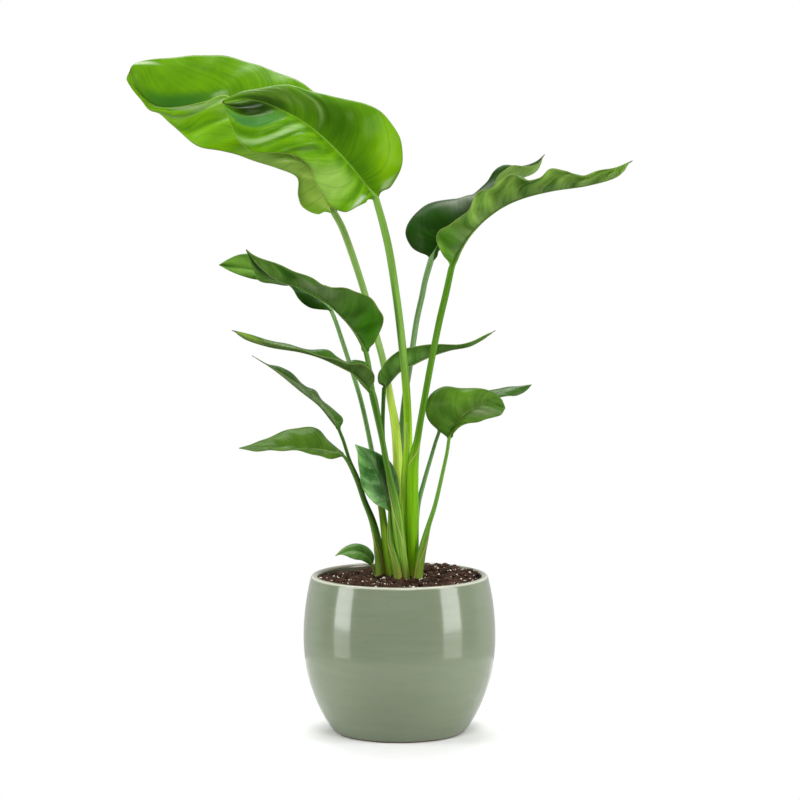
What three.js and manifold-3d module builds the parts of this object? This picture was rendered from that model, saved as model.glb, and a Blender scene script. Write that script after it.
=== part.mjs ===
// Potted bird of paradise: a glazed bowl pot, its soil, and fourteen leaves, each a blade on a
// stalk. Millimetres, +Z up. The origin is the centre of the pot's underside.

import * as THREE from 'three';
import { mergeVertices } from 'three/addons/utils/BufferGeometryUtils.js';
import Module from 'manifold-3d';

const wasm = await Module();
wasm.setup();

// ---------------------------------------------------------------- sizes

const GAP = 0.35; // left between pieces that touch

const POT = {
  height: 213,
  belly: { radius: 130, z: 128, drop: 175, rise: 212 }, // half ellipses below and above the belly
  footRadius: 85,
  footRound: 3,
  wall: 10,
  floor: 12,
  lipRound: 4.6,
  sides: 48,
};

const SOIL = {
  level: 204.5,
  mounds: [{ x: 56, y: 72, rise: 5.5, spread: 50 }, { x: 6, y: -4, rise: 2, spread: 48 }],
  crumb: 1.1, // height of the crumbly relief
  rings: 6,
  sides: 36,
  flats: 0.6, // room for the flats between the corners of the pot's inner wall
};

const BLADE = {
  thickness: 0.9,
  ridge: 0.5, // depth of the midrib at the base, as a share of the stalk's radius
  ridgeEnd: 0.35,
  tip: 0.99, // the share of the curves that the blade uses, which leaves a blunt tip
  crowd: 0.25, // how much closer the rows lie at the two ends than halfway
  flatFoot: 0.05, // the blade opens flat over this share of its length at the base
  flatTip: 0.06, // and over this share at the tip, so that its thin ends don't fold shut
  spread: 1.25, // above 1 the columns crowd towards the midrib
};

const STALK = { sides: 8, step: 42, footZ: 155 };

const GREEN = {
  sunny: { blade: 0x6aa51c, stalk: 0x74a746 },
  fresh: { blade: 0x44821d, stalk: 0x69a548 },
  deep: { blade: 0x2f6a1e, stalk: 0x4f8a3c },
};

// Each leaf: the stalk as [x, y, z, radius] from the soil to the blade, and the blade as three
// curves from its base to its tip: the midrib and its two edges, near and far, as seen from the
// front. arch and pleat are shares of the half width. side is 1 where the leaf points right.
const LEAVES = [
  {
    name: 'a', colour: GREEN.sunny, side: -1, columns: 5, rows: 18,
    arch: 0.10, pleat: 0.035, pleats: 6.5,
    stalk: [[2, 20, 205, 6], [-1.5, 23, 339, 6.2], [-6, 27, 413, 5.4], [-11, 30, 440, 4.8],
      [-22.5, 36, 501, 4.7], [-28, 37, 522, 4.6], [-46, 38, 588, 4.5], [-66, 38, 650, 4.6],
      [-79, 38, 684, 4.6], [-88, 38, 700, 4.5]],
    keel: [[-88.5, 38, 701], [-117, 44, 757], [-152, 50, 783], [-195, 60, 826], [-236, 74, 859],
      [-265, 82, 851], [-303, 92, 844], [-331, 98, 845], [-351, 104, 857], [-365, 110, 876],
      [-371, 114, 893]],
    near: [[-93, 35, 703], [-110, 25, 699], [-131, 18, 709], [-136, 17, 724], [-138, 20, 748],
      [-185, 27, 767], [-239, 37, 784], [-270, 44, 789], [-312, 67, 822], [-328, 80, 835],
      [-343, 90, 841], [-354, 98, 854], [-369, 106, 872], [-375, 112, 884], [-371, 114, 893]],
    far: [[-85, 41, 704], [-65, 62, 745], [-74, 80, 813], [-109, 90, 858], [-132, 94, 876],
      [-171, 102, 893], [-244, 114, 915], [-309, 119, 913], [-357, 121, 907], [-368, 119, 902],
      [-369, 115, 894]],
  },
  {
    name: 'b', colour: GREEN.sunny, side: -1, columns: 5, rows: 18,
    arch: 0.12, pleat: 0.04, pleats: 6,
    stalk: [[11.5, 8, 207, 5.6], [9.5, 6, 286, 6], [9, 4, 341, 6], [11.5, 1, 389, 5.8],
      [10, -6, 450, 5.3], [3, -11, 531, 5.3], [-4.5, -12, 592, 5.1], [-14, -10, 652, 5.1],
      [-23, -8, 690, 4.9], [-31.5, -6, 720, 4.6]],
    keel: [[-31.5, -6, 721], [-50, -12, 745], [-79, -24, 779], [-118, -42, 815],
      [-151, -58, 835], [-191, -78, 849], [-230, -98, 847]],
    near: [[-35, -10, 720], [-54, -28, 711], [-72, -45, 703], [-91, -62, 711], [-109, -78, 741],
      [-119, -84, 766], [-145, -92, 779], [-178, -99, 780], [-198, -105, 785],
      [-210, -108, 799], [-221, -106, 825], [-230, -99, 845]],
    far: [[-27, -3, 724], [-11, 2, 737], [3, 6, 765], [2, 6, 796], [-15, 2, 826],
      [-37, -6, 843], [-72, -16, 852], [-117, -30, 862], [-149, -45, 870], [-180, -62, 865],
      [-208, -80, 859], [-230, -97, 849]],
  },
  {
    name: 'c', colour: GREEN.deep, side: -1, columns: 5, rows: 18,
    arch: 0.06, pleat: 0.03, pleats: 6,
    stalk: [[-6, 13, 206, 4], [-8, 15, 258, 4], [-14, 13.5, 326, 3.8], [-23.5, 9, 395, 3.4],
      [-29, 4, 422, 3.3], [-36.5, -3, 464, 3.3], [-41.5, -6, 498, 3.4], [-45, -6, 515, 3.4]],
    keel: [[-45, -6, 516], [-60, -8, 543], [-84, -13, 570], [-106, -19, 589], [-132, -27, 603],
      [-159, -34, 611], [-183, -42, 629], [-203, -50, 654]],
    near: [[-40, -8, 518], [-30, -22, 535], [-21, -40, 565], [-29, -46, 577], [-44, -50, 593],
      [-65, -52, 601], [-92, -53, 604], [-117, -54, 616], [-140, -54, 626], [-168, -53, 637],
      [-192, -51, 646], [-202, -50, 655]],
    far: [[-49, -1, 517], [-50, 10, 537], [-67, 15, 564], [-87, 14, 580], [-110, 10, 595],
      [-134, 2, 606], [-152, -8, 605], [-170, -18, 607], [-188, -30, 613], [-195, -40, 629],
      [-204, -49, 654]],
  },
  {
    name: 'd', colour: GREEN.deep, side: 1, columns: 4, rows: 16,
    arch: 0.08, pleat: 0.03, pleats: 5,
    stalk: [[6, 35, 203, 4.8], [5, 36, 282, 4.8], [2.5, 38, 392, 4], [6.5, 40, 446, 3.7],
      [13.5, 43, 487, 3.8], [23.5, 47, 555, 3.9], [31, 48, 589, 3.9], [35, 49, 609, 3.9],
      [43, 50, 637, 4.2]],
    keel: [[43.5, 50, 638], [55, 54, 660], [76, 60, 685], [103, 67, 708], [133, 74, 731],
      [165, 82, 747], [187, 88, 757], [199, 93, 780]],
    near: [[47, 47, 639], [54, 41, 650], [60, 36, 660], [76, 32, 684], [102, 36, 707],
      [124, 44, 727], [135, 54, 752], [152, 62, 764], [171, 70, 763], [189, 82, 767],
      [200, 92, 779]],
    far: [[40, 54, 642], [28, 62, 646], [17, 70, 653], [8, 82, 672], [17, 94, 691],
      [35, 104, 711], [65, 108, 716], [97, 108, 723], [119, 107, 739], [130, 104, 758],
      [142, 103, 765], [166, 101, 763], [189, 98, 771], [199, 94, 781]],
  },
  {
    name: 'e', colour: GREEN.fresh, side: 1, columns: 5, rows: 24,
    arch: 0.06, pleat: 0.035, pleats: 7,
    stalk: [[17.5, -4, 209, 5], [17.5, -9, 247, 6.6], [17, -13, 289, 8], [17, -14, 343, 7.8],
      [18.5, -15, 370, 7], [23.5, -17, 395, 4.8], [28.5, -19, 425, 4.3], [43, -24, 506, 4.3],
      [53.5, -26, 559, 4.5], [61.5, -27, 593, 4.5], [69, -28, 628, 4.2]],
    keel: [[69, -28, 629.5], [74, -29, 639], [82, -31, 656], [104, -34, 685], [132, -38, 707.5],
      [159, -42, 720.5], [199, -47, 731], [251, -52, 739], [288, -55, 751], [307, -57, 771]],
    near: [[66, -31, 633], [58, -42, 645], [51, -54, 660], [49, -61, 672], [53, -66, 681],
      [70, -74, 688], [88, -80, 705], [103, -84, 727], [118, -85, 736], [135, -86, 746],
      [149, -86, 752], [168, -84, 745], [184, -82, 747], [197, -82, 761], [216, -80, 756],
      [236, -76, 751], [260, -71, 757], [284, -64, 762], [306, -58, 772]],
    far: [[71, -24, 631], [76, -10, 652], [85, -2, 674], [105, 2, 700], [131, 2, 717],
      [161, 0, 728], [201, -6, 737], [247, -20, 744], [285, -38, 756], [308, -55, 769]],
  },
  {
    name: 'f', colour: GREEN.deep, side: -1, columns: 4, rows: 16,
    arch: 0.05, pleat: 0.02, pleats: 5,
    stalk: [[8, -9, 209, 5.6], [4.5, -13, 234, 6.4], [-2, -19, 290, 7.2], [-6, -21, 317, 6],
      [-12, -23, 344, 4.8], [-18, -24, 371, 4], [-23, -25, 398, 3.8], [-34, -29, 452, 5],
      [-37, -30, 464, 4.6]],
    keel: [[-37.5, -30, 465], [-46, -32, 473], [-59, -35, 488], [-79, -40, 499],
      [-105, -46, 511], [-132, -53, 519], [-171, -64, 526], [-203, -74, 537],
      [-221, -80, 547]],
    near: [[-35, -34, 468], [-34, -48, 489], [-50, -56, 502], [-65, -60, 503], [-81, -63, 508],
      [-98, -66, 512], [-124, -70, 521], [-151, -75, 527], [-181, -80, 534],
      [-207, -82, 543], [-221, -81, 549]],
    far: [[-35, -26, 468], [-35, -22, 487], [-43, -20, 501], [-59, -20, 505], [-71, -22, 503],
      [-83, -25, 510], [-95, -29, 519], [-119, -34, 520], [-145, -42, 527], [-174, -53, 534],
      [-200, -66, 543], [-220, -79, 550]],
  },
  {
    name: 'g', colour: GREEN.deep, side: 1, columns: 3, rows: 14,
    arch: 0.06, pleat: 0.02, pleats: 4,
    stalk: [[0.5, 6, 207, 4.4], [-3.5, 6, 259, 4.2], [-9, 6, 300, 3.8], [-14, 5, 341, 3.2],
      [-19, 3, 375, 2.9], [-22, 1, 396, 2.7], [-22.5, 1, 423, 2.7], [-21, 2, 465, 2.8]],
    keel: [[-21, 2, 466], [-14, 3, 474], [-2, 6, 487], [14, 10, 495], [40, 15, 507],
      [68, 20, 516], [95, 24, 521], [116, 28, 532], [131, 31, 542]],
    near: [[-19, -1, 467], [-26, -5, 481], [-23, -4, 495], [-13, -3, 507], [1, -1, 517],
      [21, 1, 522], [54, 4, 525], [82, 9, 524], [98, 16, 528], [114, 24, 535],
      [130, 30, 543]],
    far: [[-22, 5, 467], [-28, 12, 472], [-28, 18, 485], [-18, 22, 497], [-2, 25, 506],
      [21, 27, 513], [55, 29, 518], [89, 31, 521], [116, 32, 533], [131, 32, 541]],
  },
  {
    name: 'h', colour: GREEN.deep, side: -1, columns: 3, rows: 12,
    arch: 0.05, pleat: 0.03, pleats: 5,
    stalk: [[-22.5, 18, 205, 3.9], [-25, 18, 230, 3.8], [-28, 16, 258, 3.4],
      [-35, 13, 285, 2.9], [-46.5, 11, 313, 2.5], [-55, 9, 340, 2.3], [-67.5, 7, 368, 2.3],
      [-76, 5, 395, 2.3], [-81.5, 4, 409, 2.2]],
    keel: [[-82, 4, 410], [-90, 2, 421], [-107, -2, 442], [-134, -8, 464], [-160, -14, 486],
      [-179, -18, 500], [-198, -22, 511]],
    near: [[-84, 1, 412], [-88, -8, 427], [-97, -14, 439], [-116, -20, 459], [-141, -24, 477],
      [-164, -24, 492], [-181, -22, 501], [-198, -23, 512]],
    far: [[-79, 7, 411], [-77, 14, 423], [-86, 18, 433], [-103, 18, 446], [-113, 17, 461],
      [-126, 14, 466], [-141, 8, 482], [-161, -2, 495], [-178, -12, 499], [-197, -21, 512]],
  },
  {
    name: 'i', colour: GREEN.deep, side: -1, columns: 4, rows: 14,
    arch: 0.08, pleat: 0.03, pleats: 4,
    stalk: [[-27, 10, 206, 3.5], [-29, 10, 231, 3.3], [-33, 8, 259, 3], [-39, 6, 286, 2.7],
      [-49.5, 4, 314, 2.3], [-58.5, 1, 341, 2.2], [-70, -2, 367, 2.2], [-75.5, -4, 375, 2.2]],
    keel: [[-76, -4, 376], [-87, -6, 379], [-104, -10, 383], [-127, -16, 386],
      [-153, -24, 388], [-184, -34, 388], [-214, -42, 389]],
    near: [[-77, -7, 374], [-93, -24, 373], [-113, -38, 380], [-136, -46, 386],
      [-165, -50, 387], [-192, -49, 386], [-214, -43, 388]],
    far: [[-75, -1, 378], [-84, 10, 383], [-97, 16, 395], [-109, 18, 407], [-124, 16, 412],
      [-144, 10, 410], [-172, 0, 401], [-194, -16, 393], [-214, -41, 390]],
  },
  {
    name: 'j', colour: GREEN.fresh, side: 1, columns: 5, rows: 14,
    arch: 0.10, pleat: 0.03, pleats: 4,
    stalk: [[24.5, -18, 211, 5.2], [27.5, -18.5, 235, 5.4], [32, -18, 256, 4.8],
      [38.5, -17, 280, 3.4], [47.5, -16, 308, 2.9], [58.5, -13, 355, 2.5],
      [64.5, -10, 383, 2.3], [66.5, -8, 398, 2.3]],
    keel: [[67, -8, 399], [75, -6, 414], [87, 0, 430], [101, 8, 438], [120, 20, 443],
      [144, 40, 435]],
    near: [[69, -10, 401], [79, -14, 413], [91, -12, 419], [108, -6, 421], [121, 2, 425],
      [136, 18, 427], [144, 39, 434]],
    far: [[64, -8, 401], [52, -10, 410], [40, -10, 422], [35, -6, 437], [41, 4, 456],
      [59, 14, 467], [79, 18, 464], [104, 26, 464], [123, 32, 459], [138, 37, 449],
      [144, 41, 437]],
  },
  {
    name: 'k', colour: GREEN.deep, side: -1, columns: 3, rows: 10,
    arch: -0.1, pleat: 0.02, pleats: 3,
    stalk: [[-0.5, -20, 211, 4.6], [-6, -19, 235, 4.5], [-10.5, -16, 255, 4],
      [-12.5, -11, 278, 3.2], [-13, -10, 301, 2.4]],
    keel: [[-13, -10, 302], [-21, -8, 326], [-33, -8, 355], [-45, -12, 375], [-60, -18, 392]],
    near: [[-15, -12, 302], [-34, -20, 313], [-48, -24, 331], [-54, -26, 358],
      [-56, -24, 381], [-60, -19, 390]],
    far: [[-10, -7, 303], [-1, -4, 318], [-1, -2, 339], [-11, -2, 365], [-26, -4, 377],
      [-45, -10, 386], [-59, -17, 393]],
  },
  {
    name: 'l', colour: GREEN.deep, side: 1, columns: 3, rows: 12,
    arch: 0.08, pleat: 0.02, pleats: 4,
    stalk: [[22.5, 11, 206, 4], [22.5, 12, 258, 3.8], [23, 14, 285, 3.6], [26, 17, 309, 3.2],
      [34, 23, 339, 2.9], [46, 33, 379, 2.5], [50, 36, 392, 2.4], [54, 38, 403, 2.4]],
    keel: [[54, 38, 404], [66, 46, 425], [85, 56, 442], [110, 68, 450], [138, 80, 455],
      [164, 90, 459], [183, 97, 463]],
    near: [[56, 36, 406], [80, 38, 419], [107, 46, 435], [129, 60, 446], [148, 72, 449],
      [162, 82, 449], [175, 90, 455], [183, 96, 462]],
    far: [[52, 42, 405], [50, 56, 424], [64, 70, 444], [92, 82, 451], [121, 90, 455],
      [146, 94, 459], [167, 96, 461], [183, 98, 464]],
  },
  {
    name: 'm', colour: GREEN.fresh, side: -1, columns: 3, rows: 8,
    arch: 0.1, pleat: 0.02, pleats: 3,
    stalk: [[-30, 19, 204, 1.7], [-33.5, 17, 214, 1.7], [-37.5, 14, 224, 1.7]],
    keel: [[-38, 14, 225], [-45, 10, 237], [-60, 4, 244], [-75, -4, 243], [-87, -12, 240]],
    near: [[-39, 11, 224], [-51, -2, 232], [-64, -10, 236], [-77, -14, 242], [-87, -13, 239]],
    far: [[-35, 17, 226], [-35, 20, 236], [-43, 20, 247], [-60, 14, 253], [-75, 4, 249],
      [-86, -11, 241]],
  },
  {
    name: 'n', colour: GREEN.deep, side: -1, columns: 4, rows: 14,
    arch: 0.08, pleat: 0.02, pleats: 5,
    stalk: [[-12, 18, 205, 5.2], [-17.5, 17, 251, 5], [-22.5, 18, 292, 4.5],
      [-30.5, 22, 339, 3.6], [-40.5, 27, 393, 3.2], [-52.5, 32, 447, 3.1], [-65, 36, 488, 3],
      [-78, 38, 528, 3], [-87.5, 39, 556, 2.9], [-93, 40, 569, 2.8]],
    keel: [[-93, 40, 570], [-111, 42, 584], [-135, 42, 597], [-169, 38, 614], [-205, 32, 625],
      [-244, 24, 631]],
    near: [[-90, 36, 569], [-105, 31, 570], [-122, 27, 573], [-136, 25, 585], [-145, 23, 599],
      [-156, 22, 607], [-177, 20, 610], [-202, 20, 613], [-225, 21, 621], [-244, 24, 629]],
    far: [[-90, 45, 574], [-93, 56, 589], [-111, 62, 603], [-136, 62, 615], [-163, 58, 626],
      [-187, 50, 637], [-205, 41, 645], [-218, 34, 644], [-230, 29, 639], [-244, 25, 632]],
  },
];

// Front to back at the soil. Where two sheaths press together, the later one gives way.
const SHEATH_ORDER = ['k', 'j', 'f', 'e', 'i', 'g', 'm', 'b', 'c', 'h', 'n', 'l', 'a', 'd'];

// ---------------------------------------------------------------- solids

/** A closed geometry as a manifold solid, with its faces turned outwards. */
function solid(geometry) {
  geometry.deleteAttribute('normal');
  geometry.deleteAttribute('uv');
  const merged = mergeVertices(geometry, 1e-4);
  const corners = merged.index.array;
  const kept = [];
  for (let i = 0; i < corners.length; i += 3) {
    const [a, b, c] = [corners[i], corners[i + 1], corners[i + 2]];
    if (a !== b && b !== c && c !== a) kept.push(a, b, c);
  }
  const points = merged.attributes.position.array;
  const triangles = volume(points, kept) > 0 ? kept : kept.reverse();
  return new wasm.Manifold(new wasm.Mesh({
    numProp: 3,
    vertProperties: new Float32Array(points),
    triVerts: new Uint32Array(triangles),
  }));
}

/** Six times the volume that the triangles enclose. */
function volume(points, triangles) {
  const a = new THREE.Vector3();
  const b = new THREE.Vector3();
  const c = new THREE.Vector3();
  let sum = 0;
  for (let i = 0; i < triangles.length; i += 3) {
    a.fromArray(points, triangles[i] * 3);
    b.fromArray(points, triangles[i + 1] * 3);
    c.fromArray(points, triangles[i + 2] * 3);
    sum += a.dot(b.cross(c));
  }
  return sum;
}

/** The largest of a solid's separate bodies. */
function largest(body) {
  return body.decompose().sort((p, q) => q.volume() - p.volume())[0];
}

/** A named mesh of a solid. */
function mesh(name, body, colour, roughness) {
  const shape = body.getMesh();
  const geometry = new THREE.BufferGeometry();
  geometry.setAttribute('position', new THREE.BufferAttribute(shape.vertProperties, 3));
  geometry.setIndex(new THREE.BufferAttribute(shape.triVerts, 1));
  geometry.computeVertexNormals();
  const material = new THREE.MeshStandardMaterial({ color: colour, roughness, metalness: 0 });
  const object = new THREE.Mesh(geometry, material);
  object.name = name;
  return object;
}

function curve(points) {
  const path = points.map(([x, y, z]) => new THREE.Vector3(x, y, z));
  return new THREE.CatmullRomCurve3(path, false, 'centripetal');
}

// ---------------------------------------------------------------- pot

/** The pot's outer radius at height z. */
function potRadius(z) {
  const { radius, z: bellyZ, drop, rise } = POT.belly;
  const share = (z - bellyZ) / (z < bellyZ ? drop : rise);
  return radius * Math.sqrt(1 - share * share);
}

function potSolid() {
  const profile = [new THREE.Vector2(0, 0), new THREE.Vector2(POT.footRadius, 0)];
  const lipZ = POT.height - POT.lipRound;
  const walls = [POT.footRound, 16, 34, 54, 76, 100, 124, 148, 170, 190, lipZ];
  walls.forEach((z) => profile.push(new THREE.Vector2(potRadius(z), z)));
  const lipX = potRadius(lipZ) - POT.wall / 2;
  for (const turn of [50, 90, 130, 180]) {
    const angle = THREE.MathUtils.degToRad(turn);
    const x = lipX + (POT.wall / 2) * Math.cos(angle);
    profile.push(new THREE.Vector2(x, lipZ + POT.lipRound * Math.sin(angle)));
  }
  walls.slice(1, -1).reverse().forEach((z) => {
    profile.push(new THREE.Vector2(potRadius(z) - POT.wall, z));
  });
  profile.push(new THREE.Vector2(0, POT.floor));
  return solid(standing(new THREE.LatheGeometry(profile, POT.sides)));
}

/** Turns a lathe, which stands on +Y, to stand on +Z. */
function standing(geometry) {
  return geometry.rotateX(Math.PI / 2);
}

// ---------------------------------------------------------------- soil

/** Height of the soil at a point: two low mounds and a crumbly relief. */
function soilHeight(x, y) {
  const heaped = SOIL.mounds.reduce((sum, mound) => {
    const away = Math.hypot(x - mound.x, y - mound.y) / mound.spread;
    return sum + mound.rise * Math.exp(-away * away);
  }, 0);
  const relief = Math.sin(0.21 * x + 1.3) * Math.sin(0.19 * y + 0.4)
    + 0.7 * Math.sin(0.11 * x - 0.16 * y) + 0.5 * Math.sin(0.37 * x + 0.29 * y);
  return SOIL.level + heaped + SOIL.crumb * relief;
}

function soilSolid(stalks) {
  const topRadius = potRadius(POT.height - POT.lipRound) - POT.wall - GAP - SOIL.flats;
  const floorZ = POT.floor + GAP;
  const profile = [new THREE.Vector2(0, floorZ)];
  for (const z of [16, 34, 54, 76, 100, 124, 148, 170, 190]) {
    profile.push(new THREE.Vector2(potRadius(z) - POT.wall - GAP - SOIL.flats, z + GAP));
  }
  for (let ring = SOIL.rings; ring >= 0; ring -= 1) {
    profile.push(new THREE.Vector2((topRadius * ring) / SOIL.rings, SOIL.level));
  }
  const geometry = standing(new THREE.LatheGeometry(profile, SOIL.sides));
  const position = geometry.attributes.position;
  for (let i = 0; i < position.count; i += 1) {
    if (Math.abs(position.getZ(i) - SOIL.level) < 0.01) {
      position.setZ(i, soilHeight(position.getX(i), position.getY(i)));
    }
  }
  const filled = solid(geometry);
  return largest(filled.subtract(wasm.Manifold.union(stalks)));
}

// ---------------------------------------------------------------- stalks

/** The stalk's radius at height z, read from its own list. */
function stalkRadius(points, z) {
  for (let i = 1; i < points.length; i += 1) {
    if (z <= points[i][2]) {
      const share = (z - points[i - 1][2]) / (points[i][2] - points[i - 1][2]);
      return THREE.MathUtils.lerp(points[i - 1][3], points[i][3], Math.max(share, 0));
    }
  }
  return points[points.length - 1][3];
}

/** A stalk from its buried foot to its blade, swollen by extra millimetres all round. */
function stalkSolid(leaf, extra) {
  const [footX, footY, , footRadius] = leaf.stalk[0];
  const points = [[footX, footY, STALK.footZ, footRadius], ...leaf.stalk];
  const path = curve(points);
  const steps = Math.ceil(path.getLength() / STALK.step) + 4;
  const frames = path.computeFrenetFrames(steps, false);
  const geometry = new THREE.CylinderGeometry(1, 1, 1, STALK.sides, steps);
  const position = geometry.attributes.position;
  for (let i = 0; i < position.count; i += 1) {
    const share = position.getY(i) + 0.5;
    const ring = Math.round(share * steps);
    const centre = path.getPointAt(share);
    const radius = stalkRadius(points, centre.z) + extra;
    centre.addScaledVector(frames.normals[ring], position.getX(i) * radius);
    centre.addScaledVector(frames.binormals[ring], position.getZ(i) * radius);
    const end = (share > 0.5 ? 1 : -1) * (ring === 0 || ring === steps ? extra : 0);
    centre.addScaledVector(frames.tangents[ring], end);
    position.setXYZ(i, centre.x, centre.y, centre.z);
  }
  return solid(geometry);
}

// ---------------------------------------------------------------- blades

/** How far the blade is opened flat at its foot and at its tip, each from 0 to 1. */
function flatness(along) {
  const foot = 1 - THREE.MathUtils.smoothstep(along, 0, BLADE.flatFoot);
  const tip = THREE.MathUtils.smoothstep(along, 1 - BLADE.flatTip, 1);
  return { foot, tip };
}

/** One point of the blade's middle sheet. across runs from -1 (near) to 1 (far). */
function sheetPoint(leaf, curves, across, along) {
  const near = curves.near.getPointAt(along);
  const far = curves.far.getPointAt(along);
  const { foot, tip } = flatness(along);
  const middle = curves.keel.getPointAt(along).lerp(near.clone().lerp(far, 0.5), tip);
  const open = far.clone().sub(near).multiplyScalar(Math.sign(across) / 2);
  const arm = (across < 0 ? near : far).sub(middle).lerp(open, foot);
  const tangent = curves.keel.getTangentAt(along);
  const up = tangent.cross(arm).normalize().multiplyScalar(leaf.side * Math.sign(across));
  const out = Math.abs(across);
  const fold = Math.sin(2 * Math.PI * (leaf.pleats * along + (across < 0 ? 0.3 : 0)));
  const lift = leaf.arch * Math.sin(Math.PI * out) + leaf.pleat * out ** 1.5 * fold;
  const height = (1 - Math.max(foot, tip)) * lift * arm.length();
  return middle.addScaledVector(arm, out).addScaledVector(up, height);
}

/** The blade's middle sheet as rows of points, with a column on the midrib. */
function sheet(leaf) {
  const curves = { keel: curve(leaf.keel), near: curve(leaf.near), far: curve(leaf.far) };
  const rows = [];
  for (let j = 0; j <= leaf.rows; j += 1) {
    const share = j / leaf.rows;
    const crowded = share - (BLADE.crowd * Math.sin(2 * Math.PI * share)) / (2 * Math.PI);
    const along = BLADE.tip * crowded;
    const row = [];
    for (let i = -leaf.columns; i <= leaf.columns; i += 1) {
      const across = Math.sign(i) * Math.abs(i / leaf.columns) ** BLADE.spread;
      row.push(sheetPoint(leaf, curves, across, along));
    }
    rows.push(row);
  }
  return rows;
}

/** Unit normals of the sheet, on its upper side. */
function sheetNormals(rows, side) {
  return rows.map((row, j) => row.map((point, i) => {
    const below = rows[Math.max(j - 1, 0)][i];
    const above = rows[Math.min(j + 1, rows.length - 1)][i];
    const left = row[Math.max(i - 1, 0)];
    const right = row[Math.min(i + 1, row.length - 1)];
    const forward = above.clone().sub(below);
    return forward.cross(right.clone().sub(left)).normalize().multiplyScalar(side);
  }));
}

/** The blade as a thin closed solid with its midrib standing out below. */
function bladeSolid(leaf) {
  const rows = sheet(leaf);
  const normals = sheetNormals(rows, leaf.side);
  const width = 2 * leaf.columns + 1;
  const stalkTop = leaf.stalk[leaf.stalk.length - 1][3];
  const points = [];
  for (const face of [1, -1]) {
    rows.forEach((row, j) => row.forEach((point, i) => {
      const along = j / leaf.rows;
      const rib = THREE.MathUtils.lerp(stalkTop * BLADE.ridge, BLADE.ridgeEnd, along ** 0.7);
      const ridge = face < 0 && i === leaf.columns ? rib : 0;
      const offset = face * BLADE.thickness / 2 - ridge;
      points.push(...point.clone().addScaledVector(normals[j][i], offset).toArray());
    }));
  }
  const under = width * rows.length;
  const triangles = [];
  for (let j = 0; j < leaf.rows; j += 1) {
    for (let i = 0; i < width - 1; i += 1) {
      const a = j * width + i;
      const [b, c, d] = [a + 1, a + width + 1, a + width];
      triangles.push(a, b, c, a, c, d);
      triangles.push(under + a, under + c, under + b, under + a, under + d, under + c);
    }
  }
  const border = [];
  for (let i = 0; i < width - 1; i += 1) border.push(i);
  for (let j = 0; j < leaf.rows; j += 1) border.push(j * width + width - 1);
  for (let i = width - 1; i > 0; i -= 1) border.push(leaf.rows * width + i);
  for (let j = leaf.rows; j > 0; j -= 1) border.push(j * width);
  border.forEach((a, k) => {
    const b = border[(k + 1) % border.length];
    triangles.push(a, under + a, under + b, a, under + b, b);
  });
  const geometry = new THREE.BufferGeometry();
  geometry.setAttribute('position', new THREE.Float32BufferAttribute(points, 3));
  geometry.setIndex(triangles);
  return solid(geometry);
}

// ---------------------------------------------------------------- plant

/** Every stalk by leaf name. A stalk that would enter an earlier one is cut back round it. */
function stalkSolids(swollen) {
  const stalks = new Map();
  const earlier = [];
  for (const name of SHEATH_ORDER) {
    const leaf = LEAVES.find((entry) => entry.name === name);
    const body = earlier.reduce((left, other) => left.subtract(other), stalkSolid(leaf, 0));
    stalks.set(name, largest(body));
    earlier.push(swollen.get(name));
  }
  return stalks;
}

const plant = new THREE.Group();
const swollen = new Map(LEAVES.map((leaf) => [leaf.name, stalkSolid(leaf, GAP)]));
const stalks = stalkSolids(swollen);
plant.add(mesh('pot', potSolid(), 0x8a9a7e, 0.25));
plant.add(mesh('soil', soilSolid([...swollen.values()]), 0x33241c, 0.95));
for (const leaf of LEAVES) {
  const blade = largest(bladeSolid(leaf).subtract(swollen.get(leaf.name)));
  plant.add(mesh(`stalk_${leaf.name}`, stalks.get(leaf.name), leaf.colour.stalk, 0.45));
  plant.add(mesh(`blade_${leaf.name}`, blade, leaf.colour.blade, 0.35));
}

export default plant;
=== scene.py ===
"""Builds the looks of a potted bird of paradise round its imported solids.

Sizes are millimetres in the tables and metres in Blender. +Z is up and the front faces -Y. The
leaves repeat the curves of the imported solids, so that each dressed piece stands where its solid is.
"""

import logging
import math
import random
from bisect import bisect_right
from collections.abc import Callable, Sequence
from dataclasses import dataclass, replace
from enum import Enum

import bmesh
import bpy
from mathutils import Matrix, Vector, noise


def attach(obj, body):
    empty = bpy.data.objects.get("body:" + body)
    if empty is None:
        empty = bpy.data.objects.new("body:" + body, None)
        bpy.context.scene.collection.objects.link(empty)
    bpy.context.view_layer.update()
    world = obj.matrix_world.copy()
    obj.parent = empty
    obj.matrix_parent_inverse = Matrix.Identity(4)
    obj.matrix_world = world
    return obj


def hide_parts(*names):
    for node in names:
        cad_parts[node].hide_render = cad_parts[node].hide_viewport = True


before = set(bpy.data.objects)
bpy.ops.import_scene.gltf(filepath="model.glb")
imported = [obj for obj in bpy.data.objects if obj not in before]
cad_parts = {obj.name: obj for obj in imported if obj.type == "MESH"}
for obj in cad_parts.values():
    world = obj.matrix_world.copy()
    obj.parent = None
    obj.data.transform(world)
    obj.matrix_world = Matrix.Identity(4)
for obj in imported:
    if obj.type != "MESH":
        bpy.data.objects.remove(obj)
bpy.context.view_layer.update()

LOG = logging.getLogger("potted_plant")
MM = 0.001
WELD = 0.01 * MM
TURN = 2 * math.pi
WHITE = (1.0, 1.0, 1.0, 1.0)
BLACK = (0.0, 0.0, 0.0, 1.0)

# A side vein bends towards the tip by VEIN_SLANT times its distance out raised to VEIN_CURVE.
# VEIN_LEAN gives how much of that it takes at the blade's base, and what it gains up to the tip.
VEIN_SLANT = 2.0
VEIN_CURVE = 1.2
VEIN_LEAN = (0.1, 1.6)

Pair = tuple[float, float]
Triple = tuple[float, float, float]
Quad = tuple[float, float, float, float]
Socket = bpy.types.NodeSocket
Amount = float | Socket


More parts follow.
